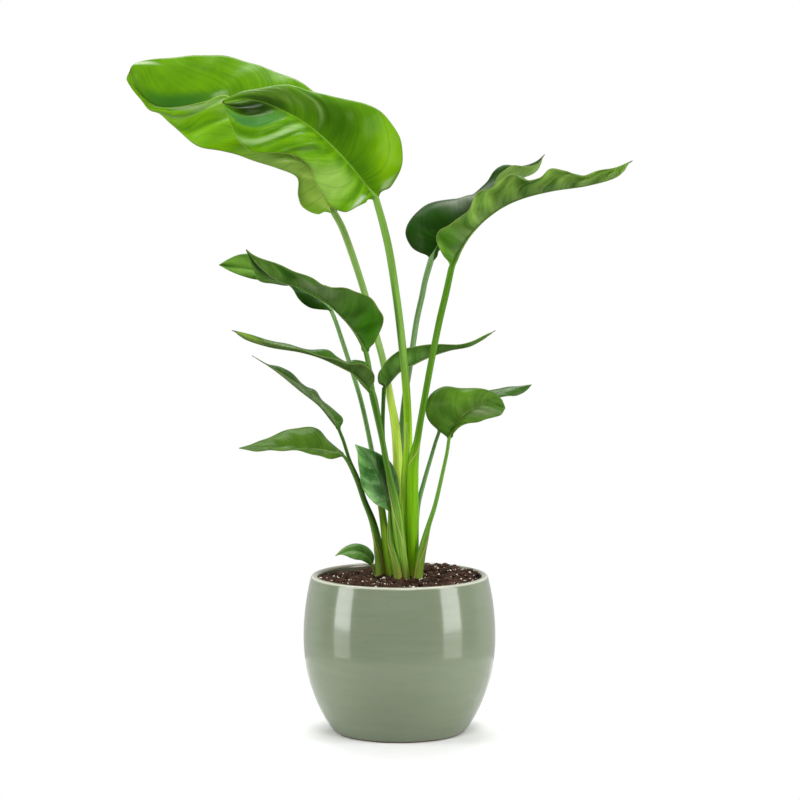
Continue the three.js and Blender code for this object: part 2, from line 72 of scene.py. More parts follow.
# ---------------------------------------------------------------- small helpers


def paint(code: int) -> Quad:
    """Turns a six-digit display colour into Blender's linear colour.

    Args:
        code: the colour as 0xRRGGBB.

    Returns:
        The linear red, green, blue and alpha.
    """
    shares = [((code >> shift) & 255) / 255 for shift in (16, 8, 0)]
    linear = [s / 12.92 if s <= 0.04045 else ((s + 0.055) / 1.055) ** 2.4 for s in shares]
    return (linear[0], linear[1], linear[2], 1.0)


def blend(low: float, high: float, share: float) -> float:
    """Returns the value that lies share of the way from low to high."""
    return low + (high - low) * share


def ease(value: float, low: float, high: float) -> float:
    """Returns 0 below low, 1 above high, and a smooth step between them."""
    share = min(max((value - low) / (high - low), 0.0), 1.0)
    return share * share * (3 - 2 * share)


def spun(profile: Sequence[Pair], sides: int) -> bmesh.types.BMesh:
    """Spins a profile round the Z axis into a closed shell.

    Args:
        profile: radius and height of each point in millimetres, from axis to axis.
        sides: how many steps make the full turn.

    Returns:
        The shell as a bmesh in metres, its faces outwards.
    """
    shape = bmesh.new()
    previous = None
    for x, z in profile:
        vert = shape.verts.new((x * MM, 0, z * MM))
        if previous:
            shape.edges.new((previous, vert))
        previous = vert
    bmesh.ops.spin(shape, geom=shape.verts[:] + shape.edges[:], cent=(0, 0, 0), axis=(0, 0, 1),
                   steps=sides, angle=TURN, use_merge=True)
    bmesh.ops.remove_doubles(shape, verts=shape.verts[:], dist=WELD)
    bmesh.ops.recalc_face_normals(shape, faces=shape.faces[:])
    return shape


def new_piece(name: str, shape: bmesh.types.BMesh, *finishes: bpy.types.Material,
              smooth: bool = True) -> bpy.types.Object:
    """Makes an object at the origin from a bmesh in metres and frees the bmesh.

    Args:
        name: the piece's name.
        shape: the finished bmesh.
        finishes: the materials, in the order of the faces' material indices.
        smooth: whether the faces are shaded smooth.

    Returns:
        The new object, linked to the scene.
    """
    for face in shape.faces:
        face.smooth = smooth
    mesh = bpy.data.meshes.new(name)
    shape.to_mesh(mesh)
    shape.free()
    for finish in finishes:
        mesh.materials.append(finish)
    piece = bpy.data.objects.new(name, mesh)
    bpy.context.scene.collection.objects.link(piece)
    return piece


def thicken(piece: bpy.types.Object, thickness: float, **settings: float) -> None:
    """Gives a sheet its thickness.

    Args:
        piece: the sheet.
        thickness: the wall in millimetres.
        settings: the modifier's other properties.
    """
    wall = piece.modifiers.new("wall", "SOLIDIFY")
    wall.thickness = thickness * MM
    for name, value in settings.items():
        setattr(wall, name, value)


def place(piece: bpy.types.Object, slot: str, *nodes: str) -> None:
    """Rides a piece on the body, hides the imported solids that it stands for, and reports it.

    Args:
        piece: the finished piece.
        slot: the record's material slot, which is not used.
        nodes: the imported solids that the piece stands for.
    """
    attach(piece, "root")
    if nodes:
        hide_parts(*nodes)
    LOG.info("%s: %d faces", piece.name, len(piece.data.polygons))


class Path:
    """A smooth curve through points, read by its share of length."""

    STEPS = 200
    NUDGE = 1e-4

    def __init__(self, points: Sequence[Triple]) -> None:
        """Measures the curve.

        Args:
            points: the places that it runs through.
        """
        knots = [Vector(point) for point in points]
        self._knots = [knots[0] * 2 - knots[1], *knots, knots[-1] * 2 - knots[-2]]
        self._spans = len(knots) - 1
        self._lengths = [0.0]
        last = self._point(0.0)
        for step in range(1, self.STEPS + 1):
            here = self._point(step / self.STEPS)
            self._lengths.append(self._lengths[-1] + (here - last).length)
            last = here
        self.length = self._lengths[-1]

    def _point(self, share: float) -> Vector:
        """Finds a point on the curve, whose spans all count alike.

        Args:
            share: the share of the spans.

        Returns:
            The point. The curve's pace on each span follows the root of the span's length.
        """
        spans_in = min(max(share, 0.0), 1.0) * self._spans
        span = min(int(spans_in), self._spans - 1)
        at = spans_in - span
        before, first, second, after = self._knots[span:span + 4]
        gaps = [math.sqrt((b - a).length) for a, b in
                ((before, first), (first, second), (second, after))]
        leave = ((first - before) / gaps[0] - (second - before) / (gaps[0] + gaps[1])
                 + (second - first) / gaps[1]) * gaps[1]
        enter = ((second - first) / gaps[1] - (after - first) / (gaps[1] + gaps[2])
                 + (after - second) / gaps[2]) * gaps[1]
        square = -3 * first + 3 * second - 2 * leave - enter
        cube = 2 * first - 2 * second + leave + enter
        return first + leave * at + square * at ** 2 + cube * at ** 3

    def _span_share(self, share: float) -> float:
        """Turns a share of the length into a share of the spans.

        Args:
            share: the share of the curve's length.

        Returns:
            The share of its spans.
        """
        target = min(max(share, 0.0), 1.0) * self.length
        step = min(bisect_right(self._lengths, target) - 1, self.STEPS - 1)
        part = self._lengths[step + 1] - self._lengths[step]
        return (step + (target - self._lengths[step]) / part) / self.STEPS

    def at(self, share: float) -> Vector:
        """Returns the point at a share of the curve's length."""
        return self._point(self._span_share(share))

    def heading(self, share: float) -> Vector:
        """Finds the curve's direction.

        Args:
            share: the share of its length.

        Returns:
            The unit vector along it.
        """
        middle = self._span_share(share)
        ahead = self._point(min(middle + self.NUDGE, 1.0))
        return (ahead - self._point(max(middle - self.NUDGE, 0.0))).normalized()


class Recipe:
    """Adds nodes to one node tree and links them."""

    BELL_TOP = 0.15

    def __init__(self, tree: bpy.types.NodeTree) -> None:
        """Keeps the tree that the nodes go into."""
        self.tree = tree

    def add(self, kind: str, inputs: dict[int | str, object] | None = None,
            **settings: object) -> bpy.types.Node:
        """Adds one node.

        Args:
            kind: the node's type name.
            inputs: sockets or plain values by the input's name or number.
            settings: the node's own properties.

        Returns:
            The new node.
        """
        node = self.tree.nodes.new(kind)
        for name, value in settings.items():
            setattr(node, name, value)
        for key, value in (inputs or {}).items():
            self.feed(node.inputs[key], value)
        return node

    def feed(self, socket: Socket, value: object) -> None:
        """Fills one input.

        Args:
            socket: the input.
            value: a socket to link into it, or its plain value.
        """
        if isinstance(value, bpy.types.NodeSocket):
            self.tree.links.new(value, socket)
        else:
            socket.default_value = value

    def dress(self, node: bpy.types.Node, **values: object) -> None:
        """Feeds a node's inputs by name, with spaces written as underscores."""
        for name, value in values.items():
            self.feed(node.inputs[name.replace("_", " ")], value)

    def calc(self, operation: str, *values: Amount) -> Socket:
        """Adds a Math node of that operation and returns its result."""
        node = self.add("ShaderNodeMath", dict(enumerate(values)), operation=operation)
        return node.outputs[0]

    def times(self, first: Amount, second: Amount) -> Socket:
        """Returns the product of two values."""
        return self.calc("MULTIPLY", first, second)

    def scaled(self, value: Amount, factor: Amount, base: Amount) -> Socket:
        """Returns value times factor, plus base."""
        return self.calc("MULTIPLY_ADD", value, factor, base)

    def about(self, value: Socket, weight: float) -> Socket:
        """Returns how far a value from 0 to 1 is from its middle, times the weight."""
        return self.scaled(value, weight, -0.5 * weight)

    def bell(self, value: Socket, middle: float, reach: float) -> Socket:
        """Returns 1 at the middle and a smooth fall to 0 at reach from it."""
        away = self.calc("ABSOLUTE", self.calc("SUBTRACT", value, middle))
        return self.fade(away, self.BELL_TOP * reach, reach, 1.0, 0.0)

    def fade(self, value: Amount, low: Amount, high: Amount, start: float = 0.0,
             end: float = 1.0) -> Socket:
        """Returns start below low, end above high, and a smooth step between them."""
        node = self.add("ShaderNodeMapRange", {0: value, 1: low, 2: high, 3: start, 4: end},
                        interpolation_type="SMOOTHSTEP")
        return node.outputs[0]

    def mix(self, share: Amount, under: object, over: object) -> Socket:
        """Returns the colour that lies share of the way from under to over."""
        node = self.add("ShaderNodeMix", {0: share, 6: under, 7: over}, data_type="RGBA")
        return node.outputs[2]

    def noise(self, vector: Socket, scale: Amount, detail: float = 3.0,
              twist: float = 0.0) -> Socket:
        """Returns a noise value from 0 to 1 at a vector."""
        node = self.add("ShaderNodeTexNoise", {"Vector": vector, "Scale": scale,
                                               "Detail": detail, "Distortion": twist})
        return node.outputs[0]

    def vector(self, *parts: Amount) -> Socket:
        """Returns the vector with those three parts."""
        return self.add("ShaderNodeCombineXYZ", dict(enumerate(parts))).outputs[0]

    def parts(self, vector: Socket) -> list[Socket]:
        """Returns the three parts of a vector."""
        return list(self.add("ShaderNodeSeparateXYZ", {0: vector}).outputs)

    def stretched(self, vector: Socket, scale: Triple) -> Socket:
        """Returns a vector with each part multiplied by its own number."""
        return self.add("ShaderNodeMapping", {"Vector": vector, "Scale": scale}).outputs[0]

    def length(self, vector: Socket) -> Socket:
        """Returns a vector's length."""
        node = self.add("ShaderNodeVectorMath", {0: vector}, operation="LENGTH")
        return node.outputs["Value"]

    def solid_place(self) -> Socket:
        """Returns the object coordinates, in metres."""
        return self.add("ShaderNodeTexCoord").outputs["Object"]

    def seen(self) -> Socket:
        """Returns 1 where the camera sees the surface itself, and 0 in reflections and light."""
        return self.add("ShaderNodeLightPath").outputs["Is Camera Ray"]

    def own(self, name: str) -> list[Socket]:
        """Returns the three numbers of a mesh attribute."""
        node = self.add("ShaderNodeAttribute", attribute_type="GEOMETRY", attribute_name=name)
        return self.parts(node.outputs["Vector"])

    def relief(self, height: Socket, depth: float, strength: float = 1.0) -> Socket:
        """Returns the normal of a surface with that height, depth metres deep."""
        node = self.add("ShaderNodeBump", {"Height": height, "Distance": depth,
                                           "Strength": strength})
        return node.outputs[0]

    def use(self, group: bpy.types.NodeTree, **inputs: object) -> bpy.types.NodeOutputs:
        """Places a node group.

        Args:
            group: the shared group.
            inputs: sockets or plain values for its named inputs.

        Returns:
            The placed node's outputs.
        """
        node = self.add("ShaderNodeGroup", node_tree=group)
        self.dress(node, **inputs)
        return node.outputs


def new_group(name: str, inputs: dict[str, str], outputs: dict[str, str]
              ) -> tuple[Recipe, dict[str, Socket], bpy.types.Node]:
    """Starts a shader node group.

    Args:
        name: the group's name.
        inputs: the kind of each named input, such as Float.
        outputs: the kind of each named output.

    Returns:
        The group's recipe, its input sockets by name, and its output node.
    """
    tree = bpy.data.node_groups.new(name, "ShaderNodeTree")
    for side, sockets in (("INPUT", inputs), ("OUTPUT", outputs)):
        for label, kind in sockets.items():
            tree.interface.new_socket(label, in_out=side, socket_type=f"NodeSocket{kind}")
    start = tree.nodes.new("NodeGroupInput")
    end = tree.nodes.new("NodeGroupOutput")
    return Recipe(tree), {label: start.outputs[label] for label in inputs}, end


def new_finish(name: str, **constants: object
               ) -> tuple[bpy.types.Material, Recipe, bpy.types.Node]:
    """Starts a material with one Principled shader.

    Args:
        name: the material's name.
        constants: plain values for the shader's sockets, with spaces written as underscores.

    Returns:
        The material, its recipe, and its shader.
    """
    material = bpy.data.materials.new(name)
    material.use_nodes = True
    recipe = Recipe(material.node_tree)
    shader = material.node_tree.nodes["Principled BSDF"]
    recipe.dress(shader, **constants)
    return material, recipe, shader


# ---------------------------------------------------------------- shared effects


class Effects:
    """The node groups that several materials share.

    STREAKS gives, for each kind of streak, its rate along the blade and outwards, per metre, and
    its detail. SLICES keeps the noise of the two halves apart. CREASE_STEP is metres from one
    single vein that shows to the next, and CREASE_EDGE how thin they are.
    """

    GRAIN = 6.5
    STREAKS = {"Fine": (400.0, 14.0, 0.4), "Broad": (95.0, 9.0, 2.0)}
    SLICES = (-0.0001, 0.0001, 3.0, 8.0)
    VEIN_WAVER = 0.01
    CREASE_STEP = 0.0145
    CREASE_EDGE = 26.0
    FIBRE_RATE = 9.0

    def __init__(self) -> None:
        """Builds each group once."""
        self.mottle = self._mottle()
        self.veins = self._veins()
        self.fibres = self._fibres()

    def _mottle(self) -> bpy.types.NodeTree:
        """Builds soft patches of two colours with fine grain.

        Returns:
            The group, which puts out the colour and the mask behind it.
        """
        recipe, given, end = new_group(
            "soft_mottle", {"Vector": "Vector", "Scale": "Float", "Dark": "Color",
                            "Light": "Color"}, {"Colour": "Color", "Mask": "Float"})
        broad = recipe.noise(given["Vector"], given["Scale"], 2.0, 0.6)
        fine = recipe.noise(given["Vector"], recipe.times(given["Scale"], self.GRAIN), 4.0)
        mask = recipe.fade(recipe.scaled(fine, 0.35, recipe.times(broad, 0.65)), 0.3, 0.7)
        recipe.dress(end, Colour=recipe.mix(mask, given["Dark"], given["Light"]), Mask=mask)
        return recipe.tree

    def _veins(self) -> bpy.types.NodeTree:
        """Builds side veins that leave the midrib and sweep towards the tip.

        Across and Along are metres from the midrib and from the base. Fine and Broad come out
        as streaks from 0 to 1 that follow the veins, and Crease as thin lines along single veins.

        Returns:
            The group.
        """
        recipe, given, end = new_group(
            "side_veins", {"Vector": "Vector", "Across": "Float", "Along": "Float",
                           "Share": "Float"},
            {"Fine": "Float", "Broad": "Float", "Crease": "Float"})
        away = recipe.calc("ABSOLUTE", given["Across"])
        lean = recipe.scaled(given["Share"], VEIN_LEAN[1] * VEIN_SLANT, VEIN_LEAN[0] * VEIN_SLANT)
        sweep = recipe.times(recipe.calc("POWER", away, VEIN_CURVE), lean)
        waver = recipe.calc("SUBTRACT", recipe.noise(given["Vector"], 18.0, 2.0), 0.5)
        waver = recipe.times(waver, self.VEIN_WAVER)
        run = recipe.calc("ADD", recipe.calc("SUBTRACT", given["Along"], sweep), waver)
        half = recipe.fade(given["Across"], *self.SLICES)
        for label, (rate, slow, detail) in self.STREAKS.items():
            streak = recipe.vector(recipe.times(run, rate), recipe.times(away, slow), half)
            value = recipe.fade(recipe.noise(streak, 1.0, detail), 0.34, 0.66)
            recipe.feed(end.inputs[label], value)
        wave = recipe.calc("COSINE", recipe.times(run, TURN / self.CREASE_STEP))
        crease = recipe.calc("POWER", recipe.scaled(wave, 0.5, 0.5), self.CREASE_EDGE)
        recipe.feed(end.inputs["Crease"], crease)
        return recipe.tree

    def _fibres(self) -> bpy.types.NodeTree:
        """Builds long streaks that run up a stalk.

        Around is a share of a turn and Along is metres. Streak comes out from 0 to 1.

        Returns:
            The group.
        """
        recipe, given, end = new_group(
            "long_fibres", {"Around": "Float", "Along": "Float", "Count": "Float"},
            {"Streak": "Float"})
        turn = recipe.times(given["Around"], TURN)
        strand = recipe.vector(recipe.times(recipe.calc("COSINE", turn), given["Count"]),
                               recipe.times(recipe.calc("SINE", turn), given["Count"]),
                               recipe.times(given["Along"], self.FIBRE_RATE))
        recipe.dress(end, Streak=recipe.fade(recipe.noise(strand, 1.0), 0.32, 0.68))
        return recipe.tree


# ---------------------------------------------------------------- finishes


class Tone(Enum):
    """The ages of leaf, named as in the record's slots."""

    SUNNY = "sunny"
    FRESH = "fresh"
    DEEP = "deep"


@dataclass(frozen=True)
class Glaze:
    """The pot's glossy coat over brown clay, with its heights and radii in metres.

    Where a mark starts and ends is given as a height or a radius, and its strength follows.
    """

    body: int = 0x838F76
    pool: int = 0x7E8B70
    # The lip's pale colour is partly the glaze and partly painted light; its band at the outer top
    # edge is a painted highlight.
    lip: int = 0xDAD9C4
    # inside is a darker colour that paints the shade on the pot's inside wall.
    inside: int = 0x6A7260
    clay: int = 0x6A4E38
    bare: tuple[float, ...] = (2.2 * MM, 3.2 * MM, 1.0, 0.0)
    ragged: float = 1.2 * MM
    lip_height: Pair = (209.5 * MM, 211.5 * MM)
    highlight_radius: float = 118.6 * MM
    highlight_share: Pair = (0.6, 0.18)
    worn_height: tuple[float, ...] = (0.205, 0.208, 0.0, 0.5)
    worn_radius: float = 111.2 * MM
    shaded_inside_radius: tuple[float, ...] = (113 * MM, 117 * MM, 0.85, 0.0)
    shaded_inside_height: Pair = (0.09, 0.1)
    flecks: tuple[float, ...] = (0.66, 0.74, 0.0, 0.25)
    brushing: Triple = (7.0, 7.0, 60.0)
    rings: Triple = (3.0, 3.0, 60.0)

    def build(self, effects: Effects) -> bpy.types.Material:
        """Builds the glaze: brushed body, pale lip, dark inside and a bare foot.

        Args:
            effects: the shared node groups.

        Returns:
            Builds the glaze: brushed body, a pale lip with a painted highlight along its outer top
                edge, painted shade on the inside wall, and a bare foot.
        """
        material, recipe, shader = new_finish("pot_glaze", IOR=1.52, Coat_Weight=0.3,
                                              Coat_Roughness=0.04, Coat_IOR=1.5)
        where = recipe.solid_place()
        height = recipe.parts(where)[2]
        radius = recipe.length(recipe.stretched(where, (1.0, 1.0, 0.0)))
        glazed = recipe.use(effects.mottle, Vector=recipe.stretched(where, self.brushing),
                            Scale=1.6, Dark=paint(self.pool), Light=paint(self.body))["Colour"]
        # Painted shade on the inside wall above the soil.
        inside = recipe.times(recipe.fade(radius, *self.shaded_inside_radius),
                              recipe.fade(height, *self.shaded_inside_height))
        # Pale lip top, with a painted highlight in a band along its outer top edge.
        lip = recipe.times(recipe.fade(height, *self.lip_height), recipe.scaled(
            recipe.bell(radius, self.highlight_radius, 2.2 * MM), *self.highlight_share))
        worn = recipe.times(recipe.bell(radius, self.worn_radius, 1.6 * MM),
                            recipe.fade(height, *self.worn_height))
        flecks = recipe.fade(recipe.noise(where, 420.0, 2.0), *self.flecks)
        edge = recipe.scaled(recipe.noise(where, 60.0), self.ragged, height)
        bare = recipe.fade(edge, *self.bare)
        for mask, colour in ((inside, self.inside), (lip, self.lip), (worn, self.clay),
                             (flecks, self.clay), (bare, self.clay)):
            glazed = recipe.mix(mask, glazed, paint(colour))
        swell = recipe.noise(recipe.stretched(where, self.rings), 1.0, 2.0)
        recipe.dress(shader, Base_Color=glazed, Roughness=recipe.fade(bare, 0.2, 0.8, 0.14, 0.8),
                     Normal=recipe.relief(swell, 0.25 * MM))
        return material


@dataclass(frozen=True)
class Grains:
    """A loose or packed grainy stuff: soil, bark bits or perlite."""

    name: str
    dark: int
    light: int
    scale: float
    roughness: float
    depth: float

    def build(self, effects: Effects) -> bpy.types.Material:
        """Builds the grainy finish with patches of both colours.

        Args:
            effects: the shared node groups.

        Returns:
            The material.
        """
        material, recipe, shader = new_finish(self.name, Specular_IOR_Level=0.3)
        where = recipe.solid_place()
        mottled = recipe.use(effects.mottle, Vector=where, Scale=self.scale,
                             Dark=paint(self.dark), Light=paint(self.light))
        rough = recipe.noise(where, self.scale * 5, 6.0)
        recipe.dress(shader, Base_Color=mottled["Colour"],
                     Roughness=recipe.fade(mottled["Mask"], 0.0, 1.0, self.roughness, 0.98),
                     Normal=recipe.relief(rough, self.depth))
        return material


@dataclass(frozen=True)
class LightAndTint:
    """A soft patch of another colour on one half of a blade, or on both when side is 0.
    Most patches are painted light: shade in hollows and folds, highlights, gloss bands and sheen.

    along and out give the patch's middle and reach, as shares of the blade's length and half
    width. along follows the side veins, and counts where they meet the edge.
    """

    side: int
    colour: int
    along: Pair
    out: Pair
    share: float = 0.8


@dataclass(frozen=True)
class BladePlace:
    """Where a material is on a blade, as sockets.

    across runs from -1 at the near edge to 1 at the far one, and out is the same without its
    sign. along is the share of the blade's length, and swept follows the side veins. wide and
    far are metres from the midrib and from the base. fold is the pleats' height from -1 to 1.
    """

    spot: Socket
    across: Socket
    along: Socket
    fold: Socket
    wide: Socket
    far: Socket
    swept: Socket
    out: Socket

    @classmethod
    def read(cls, recipe: Recipe) -> "BladePlace":
        """Reads the blade's attributes.

        Args:
            recipe: the material's recipe.

        Returns:
            The place.
        """
        share = recipe.own("leaf_share")
        return cls(recipe.solid_place(), *share, *recipe.own("leaf_metres"),
                   recipe.calc("ABSOLUTE", share[0]))


@dataclass(frozen=True)
class LeafFinish:
    """The colours of one leaf, each pair from dark to light.

    clasp is the stalk's colours below clasp_top, in millimetres. rib_reach is half the midrib's
    width at its foot, in millimetres, and rib_run the share of the blade where it has faded.
    shade is how much painted shade darkens the blade beside its midrib, near half first. patch
    and streak are how strongly the soft patches and the veins show, and fold how strongly the
    pleats' painted light and shade show, lighter on the ridges and darker in the valleys.
    bloom_and_sheen is how much pale wax the underside carries, thicker on the pleat ridges where
    it also paints a sheen. gloss is the weight of the upper side's coat, and sheen its shine.

    The names in capitals hold for all leaves. Where one has four numbers, a mark starts and ends
    at the first two and has the strengths of the last two there.
    """

    upper: tuple[int, int]
    under: tuple[int, int]
    stalk: tuple[int, int]
    clasp: tuple[int, int] = (0x4E7A20, 0x7CA83C)
    clasp_top: float = 300
    rib: int = 0x7E9C50
    rib_reach: float = 1.7
    rib_run: float = 1.0
    # wax is the pale colour of the underside's bloom, which also stands in for its sheen.
    wax: int = 0xA4B094
    margin: int = 0x9BA85C
    dry: int = 0x5C4426
    dry_from: float = 0.988
    shade: Pair = (0.35, 0.35)
    patch: float = 0.36
    streak: float = 0.16
    fold: float = 0.18
    bloom_and_sheen: float = 0.2
    gloss: float = 0.08
    sheen: float = 0.17
    light_and_tints: tuple[LightAndTint, ...] = ()

    LEAF_SHINE = (0.75, 1.0, 0.3, 1.0)
    STALK_SHINE = (0.8, 1.0, 0.4, 1.0)
    HALVES = (-0.01, 0.01)
    CALM_TIP = (0.55, 0.9, 1.0, 0.2)
    # BESIDE_RIB is where the painted shade beside the midrib fades out.
    BESIDE_RIB = (0.03, 0.38, 1.0, 0.0)
    WAX_SHEEN_BAND = (0.05, 0.6, 1.0, 0.15)
    WAX_SHEEN_STREAKS = (0.1, 0.9, 0.25, 1.0)
    VALLEY_SHADE = (-0.95, -0.55, 0.35, 0.0)
    VALLEY_SHADE_OUT = (0.02, 0.2)
    MARGIN = (0.98, 0.997, 0.0, 0.5)
    SCORCH = 0.008
    UPPER_SHINE = (0.27, 0.42)
    UNDER_SHINE = (0.42, 0.6)
    CLASP_FADE = (-0.04, 0.03)
    FOOT_STAIN = (0.205, 0.24, 0.35, 0.0)
    STAIN = 0x9A9048
    DRY_EDGE = (0.3 * MM, 1.3 * MM, 0.85, 0.0)
    DRY_HEIGHT = (0.215, 0.27)
    DRY_COLOURS = (0x9A5E2A, 0xC8BE7E)

    def blade(self, name: str, effects: Effects, upper: bool) -> bpy.types.Material:
        """Builds one side of the blade.

        Args:
            name: the leaf's name.
            effects: the shared node groups.
            upper: true for the glossy side, false for the paler one below.

        Returns:
            The material.
        """
        material, recipe, shader = new_finish(
            f"leaf_{name}_{'upper' if upper else 'under'}", Coat_Roughness=0.2,
            Coat_Weight=self.gloss if upper else 0.0, Specular_Tint=self.LEAF_SHINE,
            Specular_IOR_Level=self.sheen if upper else 0.12)
        at = BladePlace.read(recipe)
        dark, light = (paint(code) for code in (self.upper if upper else self.under))
        # deep is the dark colour of all painted shade on the blade.
        deep = recipe.mix(0.45, dark, BLACK)
        veins = recipe.use(effects.veins, Vector=at.spot, Across=at.wide, Along=at.far,
                           Share=at.along)
        patches = recipe.use(effects.mottle, Vector=at.spot, Scale=11.0, Dark=dark,
                             Light=light)["Mask"]
        calm = recipe.fade(at.along, *self.CALM_TIP)
        # The pleats' height paints light on their ridges and shade in their valleys, set by fold.
        tone = recipe.scaled(at.fold, self.fold, 0.5)
        for value, weight in ((patches, self.patch), (veins["Broad"], self.streak)):
            tone = recipe.calc("ADD", tone, recipe.about(value, weight))
        tone = recipe.scaled(recipe.about(veins["Fine"], 0.16), calm, tone)
        skin = self._with_light_and_tints(recipe, at, recipe.mix(recipe.fade(tone, 0.0, 1.0), dark, light))
        # Painted shade in the hollow beside the midrib, set for each half by shade.
        half = recipe.fade(at.across, *self.HALVES, *self.shade)
        skin = recipe.mix(recipe.times(recipe.fade(at.out, *self.BESIDE_RIB), half), skin, deep)
        # Pale wax on the underside near the midrib, thicker on the pleat ridges, where it also paints
        # a sheen.
        if not upper:
            streaks = recipe.fade(recipe.scaled(at.fold, 0.25, veins["Broad"]),
                                  *self.WAX_SHEEN_STREAKS)
            band = recipe.times(recipe.fade(at.out, *self.WAX_SHEEN_BAND), streaks)
            skin = recipe.mix(recipe.times(band, self.bloom_and_sheen), skin, paint(self.wax))
        # Painted shade in the pleat valleys away from the midrib, and fainter along the crease lines.
        valley_shade = recipe.times(recipe.fade(at.fold, *self.VALLEY_SHADE),
                              recipe.fade(at.out, *self.VALLEY_SHADE_OUT))
        crease = recipe.times(veins["Crease"], calm)
        for mask in (valley_shade, recipe.times(crease, 0.2)):
            skin = recipe.mix(mask, skin, deep)
        wax = recipe.noise(at.spot, 45.0)
        height = recipe.scaled(veins["Fine"], 0.25, recipe.times(veins["Broad"], 0.35))
        height = recipe.scaled(crease, -0.2, recipe.scaled(wax, 0.3, height))
        shine = self.UPPER_SHINE if upper else self.UNDER_SHINE
        recipe.dress(shader, Base_Color=self._edged(recipe, at, skin),
                     Roughness=recipe.fade(wax, 0.3, 0.7, *shine),
                     Normal=recipe.relief(height, 0.3 * MM, 0.7))
        return material

    def _with_light_and_tints(self, recipe: Recipe, at: BladePlace, skin: Socket) -> Socket:
        """Lays the leaf's patches of painted light and shade, and of its own colour, over its skin.

        Args:
            recipe: the material's recipe.
            at: the place on the blade.
            skin: the colour so far.

        Returns:
            The colour with the patches.
        """
        for painted_patch in self.light_and_tints:
            sided = recipe.times(at.across, painted_patch.side) if painted_patch.side else at.out
            mask = recipe.times(recipe.bell(at.swept, *painted_patch.along), recipe.bell(sided, *painted_patch.out))
            mask = recipe.times(mask, recipe.fade(sided, *self.HALVES, 0.0, painted_patch.share))
            skin = recipe.mix(mask, skin, paint(painted_patch.colour))
        return skin

    def _edged(self, recipe: Recipe, at: BladePlace, skin: Socket) -> Socket:
        """Lays the midrib, the margin and the dry tip over the skin.

        Args:
            recipe: the material's recipe.
            at: the place on the blade.
            skin: the colour so far.

        Returns:
            The finished colour.
        """
        reach = recipe.fade(at.along, 0.0, 1.0, self.rib_reach * MM, 0.3 * self.rib_reach * MM)
        rib = recipe.fade(recipe.calc("ABSOLUTE", at.wide), reach, recipe.times(reach, 0.4),
                          0.0, 0.9)
        rib = recipe.times(rib, recipe.fade(at.along, self.rib_run * 0.6, self.rib_run, 1.0, 0.35))
        scorch = recipe.scaled(recipe.noise(at.spot, 90.0), 0.012, at.along)
        for mask, colour in ((rib, self.rib), (recipe.fade(at.out, *self.MARGIN), self.margin),
                             (recipe.fade(scorch, self.dry_from, self.dry_from + self.SCORCH),
                              self.dry)):
            skin = recipe.mix(mask, skin, paint(colour))
        return skin

    def petiole(self, name: str, effects: Effects, skirt: bool = False) -> bpy.types.Material:
        """Builds the stalk's finish: long fibres, paler low down and where it turns midrib.

        Args:
            name: the leaf's name.
            effects: the shared node groups.
            skirt: true for the thin sheath round the stalk's foot, with its dry margins.

        Returns:
            The material.
        """
        material, recipe, shader = new_finish(
            f"{'sheath' if skirt else 'stalk'}_{name}", Specular_IOR_Level=0.25,
            Specular_Tint=self.STALK_SHINE)
        around, along, rib = recipe.own("stalk_share")
        strands = recipe.use(effects.fibres, Around=around, Along=along, Count=4.0)["Streak"]
        height = recipe.parts(recipe.solid_place())[2]
        upper, lower = (recipe.mix(strands, paint(pair[0]), paint(pair[1]))
                        for pair in (self.stalk, self.clasp))
        start, end = (self.clasp_top * MM + step for step in self.CLASP_FADE)
        skin = recipe.mix(recipe.fade(height, start, end, 1.0, 0.0), upper, lower)
        if skirt:
            dry = recipe.mix(recipe.fade(height, *self.DRY_HEIGHT),
                             *(paint(code) for code in self.DRY_COLOURS))
            skin = recipe.mix(recipe.fade(rib, *self.DRY_EDGE), skin, dry)
        else:
            skin = recipe.mix(recipe.times(rib, 0.8), skin, paint(self.rib))
        stain = recipe.mix(recipe.fade(height, *self.FOOT_STAIN), skin, paint(self.STAIN))
        recipe.dress(shader, Base_Color=stain, Normal=recipe.relief(strands, 0.1 * MM),
                     Roughness=recipe.fade(strands, 0.0, 1.0, 0.34, 0.5))
        return material


# ---------------------------------------------------------------- leaves


@dataclass(frozen=True)
class Folds:
    """How a blade is arched and pleated, as shares of its half width.

    near and far are how much stronger the pleats are inside each half than at its edge.
    """

    arch: float
    pleat: float
    pleats: float
    near: float = 2.4
    far: float = 1.2

    def inside(self, across: float) -> float:
        """Returns near or far, by the side of the midrib."""
        return self.far if across > 0 else self.near


@dataclass(frozen=True)
class Leaf:
    """One leaf: its stalk with a radius at each point, and the blade's three curves."""

    name: str
    tone: Tone
    side: int
    folds: Folds
    stalk: tuple[Quad, ...]
    keel: tuple[Triple, ...]
    near: tuple[Triple, ...]
    far: tuple[Triple, ...]


